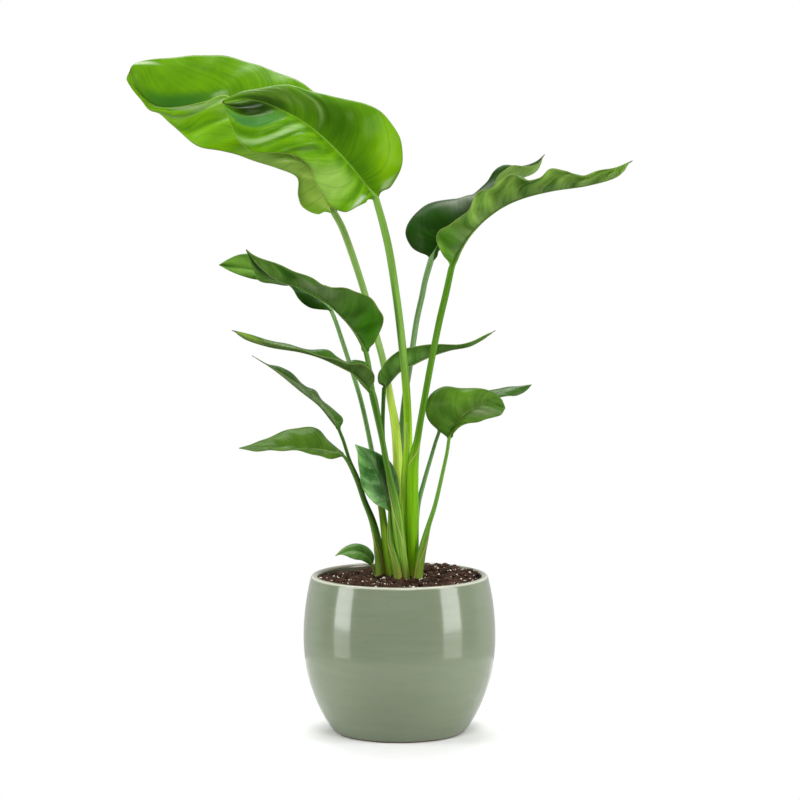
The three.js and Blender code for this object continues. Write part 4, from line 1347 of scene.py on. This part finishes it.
@dataclass(frozen=True)
class Plant:
    """Fourteen leaves, each a blade and a stalk that runs on as its midrib, in millimetres.

    rib_share, rib_taper and rib_end shape the midrib from the stalk's top to its end at
    rib_reach, and rib_proud is how far it stands out. sheath_shut is half a sheath's opening at
    its top, in degrees. sheath_part and sheath_hug are the shares of its height where it would
    be all open, and from where it closes on the stalk. flare_from is the height where it flares.
    """

    leaves: tuple[Leaf, ...]
    sheaths: tuple[Sheath, ...]
    form: BladeForm
    effects: Effects
    stalk_sides: int = 24
    stalk_step: float = 6.0
    stalk_foot: float = 155.0
    rib_end: float = 0.2
    rib_share: float = 0.5
    rib_taper: float = 0.7
    rib_proud: float = 0.25
    rib_merge: float = 14.0
    rib_reach: float = 0.94
    sheath_lift: float = 0.8
    sheath_thick: float = 0.6
    sheath_sides: int = 32
    sheath_step: float = 5.0
    sheath_samples: int = 400
    sheath_shut: float = 172
    sheath_part: float = 1.02
    sheath_hug: float = 0.85
    flare_from: float = 200
    dry_clasp: tuple[int, int] = (0xA88A54, 0xD2BC88)

    def build(self) -> None:
        """Builds every blade and stalk."""
        for leaf in self.leaves:
            sheet = LeafSheet(leaf, self.form)
            finish = LEAF_LOOKS[leaf.name]
            blade = self._blade(sheet, finish)
            place(blade, f"leaf_{leaf.tone.value}", f"blade_{leaf.name}")
            stalk = self._stalk(sheet, finish)
            place(stalk, f"stalk_{leaf.tone.value}", f"stalk_{leaf.name}")
            for sheath in self.sheaths:
                if sheath.leaf == leaf.name:
                    place(self._sheath(leaf, sheath, finish), f"stalk_{leaf.tone.value}")

    def _blade(self, sheet: LeafSheet, finish: LeafFinish) -> bpy.types.Object:
        """Lays a grid on the sheet and gives it its thickness.

        Args:
            sheet: the leaf's middle sheet.
            finish: the leaf's colours.

        Returns:
            The blade, upper side first in its materials.
        """
        form, leaf = sheet.form, sheet.leaf
        rows = max(form.least_rows, round(sheet.keel.length / form.cell))
        columns = 2 * max(form.least_columns, round(sheet.half_width / form.cell))
        shape = bmesh.new()
        bmesh.ops.create_grid(shape, x_segments=columns, y_segments=rows, size=1)
        share_layer = shape.verts.layers.float_vector.new("leaf_share")
        metre_layer = shape.verts.layers.float_vector.new("leaf_metres")
        lines: dict[int, tuple[float, Callable[[float], Vector], Vector]] = {}
        for vert in shape.verts:
            index = round((vert.co.y + 1) / 2 * rows)
            if index not in lines:
                share = index / rows
                crowded = share - form.crowd * math.sin(TURN * share) / TURN
                along = form.tip * crowded
                line = sheet.row(along)
                lines[index] = (along, line, line(0.0))
            along, line, middle = lines[index]
            across = math.copysign(abs(vert.co.x) ** form.spread, vert.co.x)
            spot = line(across)
            wide = math.copysign((spot - middle).length, across)
            # fold carries the pleats' height to the finish, which paints light on the ridges and
            # shade in the valleys.
            depth = min(1.0, leaf.folds.inside(across) * leaf.folds.pleat / form.full_pleat)
            fold = sheet.crease(across, along) * depth
            vert[share_layer] = (across, along, fold)
            vert[metre_layer] = (wide * MM, along * sheet.keel.length * MM,
                                 sheet.swept(across, along))
            vert.co = spot * MM
        if leaf.side > 0:
            bmesh.ops.reverse_faces(shape, faces=shape.faces[:])
        blade = new_piece(f"blade_{leaf.name}_dressed", shape,
                          finish.blade(leaf.name, self.effects, True),
                          finish.blade(leaf.name, self.effects, False))
        thicken(blade, form.thickness, offset=0, material_offset=1, material_offset_rim=0)
        return blade

    def _stations(self, sheet: LeafSheet) -> list[tuple[Vector, float, float, float]]:
        """Lists the centres of a stalk and of the midrib that it runs on into.

        Args:
            sheet: the leaf's middle sheet.

        Returns:
            For each ring, its centre and radius in millimetres, its distance along in metres,
            and how far it has turned from stalk to midrib.
        """
        leaf = sheet.leaf
        path = self._path(leaf)
        steps = round(path.length / self.stalk_step)
        stations = []
        for step in range(steps + 1):
            centre = path.at(step / steps)
            radius = self._radius(leaf.stalk, centre.z)
            stations.append((centre, radius, path.length * step / steps * MM, 0.0))
        top = leaf.stalk[-1][3]
        rib_steps = round(sheet.keel.length / self.stalk_step)
        for step in range(1, rib_steps):
            along = step / rib_steps * self.rib_reach
            run = along * sheet.keel.length
            ridge = blend(top * self.rib_share, self.rib_end, along ** self.rib_taper)
            slim = (ridge + self.form.thickness) / 2
            radius = blend(slim, top, math.exp(-run / self.rib_merge))
            sink = (radius - self.rib_proud) * ease(run, 0, 2 * self.rib_merge)
            centre = sheet.row(along)(0.0) - sheet.up(along) * sink
            stations.append((centre, radius, (path.length + run) * MM,
                             ease(run, 0, 3 * self.rib_merge)))
        return stations

    def _path(self, leaf: Leaf) -> Path:
        """Returns a stalk's centre line, from inside the soil to the blade."""
        foot = (leaf.stalk[0][0], leaf.stalk[0][1], self.stalk_foot)
        return Path((foot, *(knot[:3] for knot in leaf.stalk)))

    def _sheath(self, leaf: Leaf, sheath: Sheath, finish: LeafFinish) -> bpy.types.Object:
        """Wraps a grid part of the way round a stalk's foot.

        Args:
            leaf: the leaf whose stalk it clasps.
            sheath: the skirt's height and opening.
            finish: the leaf's colours.

        Returns:
            The skirt, with its thickness.
        """
        path = self._path(leaf)
        heights = [path.at(step / self.sheath_samples).z
                   for step in range(self.sheath_samples + 1)]
        reach = bisect_right(heights, sheath.top) / self.sheath_samples
        rings = round((sheath.top - self.stalk_foot) / self.sheath_step)
        shape = bmesh.new()
        bmesh.ops.create_grid(shape, x_segments=self.sheath_sides, y_segments=rings, size=1)
        layer = shape.verts.layers.float_vector.new("stalk_share")
        for vert in shape.verts:
            up = (vert.co.y + 1) / 2
            ahead = path.heading(reach * up)
            centre = path.at(reach * up)
            right = Vector((0, 1, 0)).cross(ahead).normalized()
            back = ahead.cross(right).normalized()
            half_open = blend(sheath.gape / 2, self.sheath_shut,
                              ease(up, sheath.parting, self.sheath_part))
            side = (vert.co.x + 1) / 2
            turn = math.radians(sheath.facing + blend(half_open, 360 - half_open, side))
            radius = self._radius(leaf.stalk, centre.z)
            low = 1 - ease(centre.z, self.flare_from, sheath.top)
            stand = (self.sheath_lift * (1 - ease(up, self.sheath_hug, 1))
                     + sheath.flare * low ** 2)
            edge = min(side, 1 - side) * math.radians(360 - 2 * half_open) * radius
            vert[layer] = (turn / TURN, path.length * reach * up * MM, edge * MM)
            vert.co = (centre + (right * math.cos(turn) + back * math.sin(turn))
                       * (radius + stand)) * MM
        tag = f"{leaf.name}_dry" if sheath.dry else leaf.name
        look = replace(finish, clasp=self.dry_clasp) if sheath.dry else finish
        skirt = new_piece(f"sheath_{tag}", shape, look.petiole(tag, self.effects, skirt=True))
        thicken(skirt, self.sheath_thick, offset=-1)
        return skirt

    @staticmethod
    def _radius(knots: Sequence[Quad], height: float) -> float:
        """Reads a stalk's radius from its own list.

        Args:
            knots: the stalk's points with their radii.
            height: where it is read, in millimetres.

        Returns:
            The radius in millimetres.
        """
        for low, high in zip(knots, knots[1:]):
            if height <= high[2]:
                share = max((height - low[2]) / (high[2] - low[2]), 0.0)
                return blend(low[3], high[3], share)
        return knots[-1][3]

    def _stalk(self, sheet: LeafSheet, finish: LeafFinish) -> bpy.types.Object:
        """Wraps a grid round the stalk's stations and closes its ends.

        Args:
            sheet: the leaf's middle sheet.
            finish: the leaf's colours.

        Returns:
            The stalk with its midrib.
        """
        leaf = sheet.leaf
        stations = self._stations(sheet)
        rings = len(stations) - 1
        shape = bmesh.new()
        bmesh.ops.create_grid(shape, x_segments=self.stalk_sides, y_segments=rings, size=1)
        layer = shape.verts.layers.float_vector.new("stalk_share")
        frames = []
        for ring in range(rings + 1):
            ahead = stations[min(ring + 1, rings)][0] - stations[max(ring - 1, 0)][0]
            sideways = ahead.cross(Vector((0, 1, 0))).normalized()
            frames.append((sideways, sideways.cross(ahead).normalized()))
        for vert in shape.verts:
            ring = round((vert.co.y + 1) / 2 * rings)
            around = (vert.co.x + 1) / 2
            centre, radius, run, rib = stations[ring]
            sideways, back = frames[ring]
            turn = TURN * around
            vert[layer] = (around, run, rib)
            vert.co = (centre + sideways * (radius * math.cos(turn))
                       + back * (radius * math.sin(turn))) * MM
        bmesh.ops.remove_doubles(shape, verts=shape.verts[:], dist=WELD)
        ends = [edge for edge in shape.edges if edge.is_boundary]
        bmesh.ops.holes_fill(shape, edges=ends, sides=0)
        bmesh.ops.recalc_face_normals(shape, faces=shape.faces[:])
        return new_piece(f"stalk_{leaf.name}_dressed", shape,
                         finish.petiole(leaf.name, self.effects))


# ---------------------------------------------------------------- pot and soil


@dataclass(frozen=True)
class Belly:
    """The pot's wall: half ellipses below and above its widest height, in millimetres."""

    radius: float = 130
    height: float = 128
    drop: float = 175
    rise: float = 212

    def radius_at(self, z: float) -> float:
        """Returns the outer radius at height z."""
        share = (z - self.height) / (self.drop if z < self.height else self.rise)
        return self.radius * math.sqrt(1 - share * share)


@dataclass(frozen=True)
class Pot:
    """The glazed bowl, in millimetres."""

    belly: Belly = Belly()
    height: float = 213
    foot_radius: float = 85
    foot_round: float = 3
    wall: float = 10
    floor: float = 12
    lip_round: float = 4.6
    ring_width: float = 9
    ring_depth: float = 1.5
    ring_slope: float = 2
    foot_curve: tuple[Pair, ...] = ((0, 0), (2.6, 0.5), (4.8, 1.6))
    floor_curve: tuple[Pair, ...] = ((6, 2.5), (14, 0))
    floor_round: float = 8
    wall_steps: int = 48
    lip_steps: int = 16
    sides: int = 160

    def build(self, effects: Effects) -> bpy.types.Object:
        """Returns the pot, spun from its profile."""
        return new_piece("pot_dressed", spun(self._profile(), self.sides), Glaze().build(effects))

    def _profile(self) -> list[Pair]:
        """Lists the profile from the underside's centre round the lip to the floor's centre.

        Returns:
            The radius and the height of each point, in millimetres.
        """
        lip_z = self.height - self.lip_round
        inner_foot = self.foot_radius - self.ring_width
        points = [(0, self.ring_depth), (inner_foot - self.ring_slope, self.ring_depth),
                  (inner_foot, 0)]
        points += [(self.foot_radius + out, z) for out, z in self.foot_curve]
        heights = [blend(self.foot_round, lip_z, step / self.wall_steps)
                   for step in range(self.wall_steps + 1)]
        points += [(self.belly.radius_at(z), z) for z in heights]
        middle = self.belly.radius_at(lip_z) - self.wall / 2
        for step in range(1, self.lip_steps + 1):
            angle = math.pi * step / self.lip_steps
            points.append((middle + self.wall / 2 * math.cos(angle),
                           lip_z + self.lip_round * math.sin(angle)))
        corner = self.floor + self.floor_round
        points += [(self.belly.radius_at(z) - self.wall, z)
                   for z in reversed(heights) if corner < z < lip_z - 1]
        low = self.belly.radius_at(corner) - self.wall
        points += [(low - inwards, self.floor + rise) for inwards, rise in self.floor_curve]
        return [*points, (0, self.floor)]


@dataclass(frozen=True)
class Mound:
    """A low heap of soil, in millimetres."""

    x: float
    y: float
    rise: float
    spread: float


@dataclass(frozen=True)
class Soil:
    """The bed of potting mix with its crumbs and perlite, in millimetres.

    LUMPS and ROLLS are the waves of the bed's relief: rates and starts along X and Y, and
    strengths with both rates. rough is how high the coarse grain stands, and ROUGHNESS its rate,
    its detail and its middle.
    """

    pot: Pot
    level: float = 204.5
    mounds: tuple[Mound, ...] = (Mound(56, 72, 5.5, 50), Mound(6, -4, 2, 48),
                                Mound(-66, 56, -3.5, 52))
    relief: float = 1.1
    rough: float = 4.6
    gap: float = 0.6
    wall_heights: tuple[float, ...] = (24, 40, 60, 84, 110, 136, 160, 180, 196)
    foot_round: float = 16
    rings: int = 70
    sides: int = 200
    clumps: int = 170
    crumbs: int = 1500
    perlite: int = 380
    flakes: int = 190
    perch: float = 3.0
    round_from: float = 3
    seed: int = 11

    LUMPS = ((0.21, 1.3), (0.19, 0.4))
    ROLLS = ((0.7, 0.11, -0.16), (0.5, 0.37, 0.29))
    ROUGHNESS = (0.16, 4, 0.45)
    SMALLNESS = 2.2
    LIFT = 0.45
    TILT = 0.7
    STRETCH = 0.7
    JAG = 0.45

    @property
    def top_radius(self) -> float:
        """The bed's radius at its surface."""
        pot = self.pot
        return pot.belly.radius_at(pot.height - pot.lip_round) - pot.wall - self.gap

    def height_at(self, x: float, y: float) -> float:
        """Finds the height of the bed, with its low heaps and its crumbly relief.

        Args:
            x: the place to the right.
            y: the place to the back.

        Returns:
            The height.
        """
        heaped = sum(m.rise * math.exp(-(math.hypot(x - m.x, y - m.y) / m.spread) ** 2)
                     for m in self.mounds)
        (rate_x, start_x), (rate_y, start_y) = self.LUMPS
        relief = math.sin(rate_x * x + start_x) * math.sin(rate_y * y + start_y)
        for share, along_x, along_y in self.ROLLS:
            relief += share * math.sin(along_x * x + along_y * y)
        return self.level + heaped + self.relief * relief

    def build(self, effects: Effects) -> None:
        """Builds the bed and everything that lies on it.

        Args:
            effects: the shared node groups.
        """
        earth = Grains("soil_earth", 0x040201, 0x5E3F2B, 210.0, 0.85, 1.4 * MM).build(effects)
        bark = Grains("soil_bark", 0x241509, 0x8A6040, 120.0, 0.7, 0.6 * MM).build(effects)
        stone = Grains("soil_perlite", 0xD8CEBA, 0xFBF6EA, 300.0, 0.8, 0.3 * MM).build(effects)
        place(self._bed(earth), "soil", "soil")
        draw = random.Random(self.seed)
        for name, count, sizes, flat, finish in (
                ("soil_clumps", self.clumps, (3.0, 5.5), 0.7, earth),
                ("soil_crumbs", self.crumbs, (1.0, 4.6), 1.0, earth),
                ("soil_flakes", self.flakes, (1.4, 4.2), 0.45, bark),
                ("soil_grains", self.perlite, (0.5, 1.7), 0.85, stone)):
            place(self._scatter(name, draw, count, sizes, flat, finish), "soil")

    def _bed(self, earth: bpy.types.Material) -> bpy.types.Object:
        """Spins the bed and gives its top a rough relief.

        Args:
            earth: the soil's finish.

        Returns:
            The bed.
        """
        inner = [(self.pot.belly.radius_at(z) - self.pot.wall - self.gap, z)
                 for z in self.wall_heights]
        bottom = self.pot.floor + 1
        top = [(self.top_radius * ring / self.rings, self.level)
               for ring in range(self.rings, -1, -1)]
        shape = spun([(0, bottom), (inner[0][0] - self.foot_round, bottom), *inner, *top],
                     self.sides)
        rate, detail, usual = self.ROUGHNESS
        for vert in shape.verts:
            if abs(vert.co.z - self.level * MM) < WELD:
                x, y = vert.co.x / MM, vert.co.y / MM
                rough = noise.turbulence(Vector((x, y, 0)) * rate, detail, False) - usual
                vert.co.z = (self.height_at(x, y) + self.rough * rough) * MM
        return new_piece("soil_dressed", shape, earth)

    def _scatter(self, name: str, draw: random.Random, count: int,
                 sizes: Pair, flat: float, finish: bpy.types.Material) -> bpy.types.Object:
        """Scatters one kind of bit over the bed.

        Args:
            name: the piece's name.
            draw: the seeded source of the places and sizes.
            count: how many bits.
            sizes: the least and greatest radius.
            flat: the height of a bit as a share of its width.
            finish: its material.

        Returns:
            All the bits as one piece.
        """
        shape = bmesh.new()
        reach = self.top_radius - 2
        for _ in range(count):
            away, turn = reach * math.sqrt(draw.random()), TURN * draw.random()
            x, y = away * math.cos(turn), away * math.sin(turn)
            size = blend(*sizes, draw.random() ** self.SMALLNESS)
            lift = size * self.LIFT + (self.perch if finish.name == "soil_perlite" else 0)
            spot = Matrix.Translation(Vector((x, y, self.height_at(x, y) + lift)) * MM)
            tilt = Matrix.Rotation(TURN * draw.random(), 4, "Z") @ Matrix.Rotation(
                self.TILT * (draw.random() - 0.5), 4, "X")
            stretch = Matrix.Diagonal((1 + self.STRETCH * draw.random(), 1, flat, 1))
            made = bmesh.ops.create_icosphere(
                shape, subdivisions=2 if size > self.round_from else 1, radius=size * MM,
                matrix=spot @ tilt @ stretch)
            for vert in made["verts"]:
                jolt = Vector((draw.random() - 0.5, draw.random() - 0.5, draw.random() - 0.5))
                vert.co += jolt * (size * self.JAG * MM)
        return new_piece(name, shape, finish, smooth=False)


# ---------------------------------------------------------------- studio


@dataclass(frozen=True)
class Softbox:
    """A rectangular studio light, in metres and watts."""

    name: str
    place: Triple
    size: Pair
    watts: float
    aim: Triple = (0.0, 0.0, 0.5)

    def build(self) -> None:
        """Hangs the light and turns it to its aim."""
        data = bpy.data.lights.new(self.name, "AREA")
        data.shape = "RECTANGLE"
        data.size, data.size_y = self.size
        data.energy = self.watts
        lamp = bpy.data.objects.new(self.name, data)
        lamp.location = self.place
        lamp.rotation_mode = "QUATERNION"
        lamp.rotation_quaternion = (Vector(self.aim) - Vector(self.place)).to_track_quat("-Z", "Y")
        lamp.visible_camera = False
        bpy.context.scene.collection.objects.link(lamp)


@dataclass(frozen=True)
class Studio:
    """Camera, pale floor, pale surroundings and soft lights, in metres.

    camera_drop is degrees. The floor melts into the backdrop over floor_melt, and ends for light
    over floor_edge. overhead, behind and below are the room's light: from which height or depth
    to which, and how strong at each.
    """

    camera_place: Triple = (0.0007, -3.5546, 0.7546)
    camera_drop: float = 4.9
    lens: float = 119.25
    sensor: float = 36.0
    floor_size: float = 3.0
    floor_melt: Pair = (0.135, 0.45)
    floor_edge: Pair = (0.5, 0.52)
    floor_lift: float = 0.05
    floor_bounce: int = 0xD8D8D6
    floor_paper: int = 0xFAFAFA
    overhead: tuple[float, ...] = (0.2, 0.8, 0.12, 0.42)
    behind: tuple[float, ...] = (0.0, 0.5, 0.0, 0.6)
    below: tuple[float, ...] = (-0.2, -0.16, 0.45, 0.0)
    softboxes: tuple[Softbox, ...] = (
        Softbox("left_softbox", (-2.2, -0.75, 1.2), (0.95, 2.3), 40, (0, 0, 1.1)),
        Softbox("left_glow", (-2.2, -0.75, -0.2), (0.95, 0.5), 2.8, (0, 0, -0.2)),
        Softbox("right_softbox", (2.1, -0.98, 1.2), (1.05, 2.3), 42, (0, 0, 1.1)),
        Softbox("right_glow", (2.1, -0.98, -0.2), (1.05, 0.5), 3.0, (0, 0, -0.2)),
        Softbox("front_softbox", (0.4, -2.4, 2.9), (1.2, 0.9), 38, (0, 0, 0.6)),
        Softbox("back_softbox", (-0.1, 1.1, 2.5), (1.8, 1.2), 42, (0, 0, 0.6)),
    )

    def build(self) -> None:
        """Builds the whole studio."""
        bpy.context.scene.view_settings.view_transform = "Standard"
        self._camera()
        self._floor()
        self._surroundings()
        for softbox in self.softboxes:
            softbox.build()

    def _camera(self) -> None:
        """Sets the camera at the photograph's place."""
        data = bpy.data.cameras.new("camera")
        data.lens = self.lens
        data.sensor_width = self.sensor
        camera = bpy.data.objects.new("camera", data)
        camera.location = self.camera_place
        camera.rotation_euler = (math.radians(90 - self.camera_drop), 0, 0)
        bpy.context.scene.collection.objects.link(camera)
        bpy.context.scene.camera = camera

    def _floor(self) -> None:
        """Lays the pale floor, which melts into the surroundings away from the pot."""
        shape = bmesh.new()
        bmesh.ops.create_grid(shape, x_segments=8, y_segments=8, size=self.floor_size / 2)
        material, recipe, shader = new_finish("floor_paper", Roughness=0.9,
                                              Specular_IOR_Level=0.2, Emission_Color=WHITE)
        seen = recipe.seen()
        away = recipe.length(recipe.solid_place())
        melting = recipe.fade(away, *self.floor_melt, 1.0, 0.0)
        sheet = recipe.fade(away, *self.floor_edge, 1.0, 0.0)
        recipe.dress(shader,
                     Base_Color=recipe.mix(seen, paint(self.floor_bounce),
                                           paint(self.floor_paper)),
                     Emission_Strength=recipe.times(seen, self.floor_lift),
                     Alpha=recipe.scaled(seen, recipe.calc("SUBTRACT", melting, sheet), sheet))
        floor = new_piece("floor", shape, material, smooth=False)

    def _surroundings(self) -> None:
        """Makes a white backdrop with a dimmer room in front of it."""
        world = bpy.data.worlds.new("studio")
        world.use_nodes = True
        bpy.context.scene.world = world
        recipe = Recipe(world.node_tree)
        backdrop = world.node_tree.nodes["Background"]
        parts = recipe.parts(recipe.add("ShaderNodeTexCoord").outputs["Generated"])
        strength = recipe.seen()
        for part, glow in ((2, self.overhead), (1, self.behind), (2, self.below)):
            strength = recipe.calc("MAXIMUM", strength, recipe.fade(parts[part], *glow))
        recipe.dress(backdrop, Strength=strength, Color=WHITE)


def main() -> None:
    """Builds the studio and every piece."""
    logging.basicConfig(level=logging.INFO, format="%(name)s %(message)s")
    effects = Effects()
    Studio().build()
    pot = Pot()
    place(pot.build(effects), "glaze", "pot")
    Soil(pot).build(effects)
    Plant(LEAVES, SHEATHS, BladeForm(), effects).build()


if __name__ == "__main__":
    main()
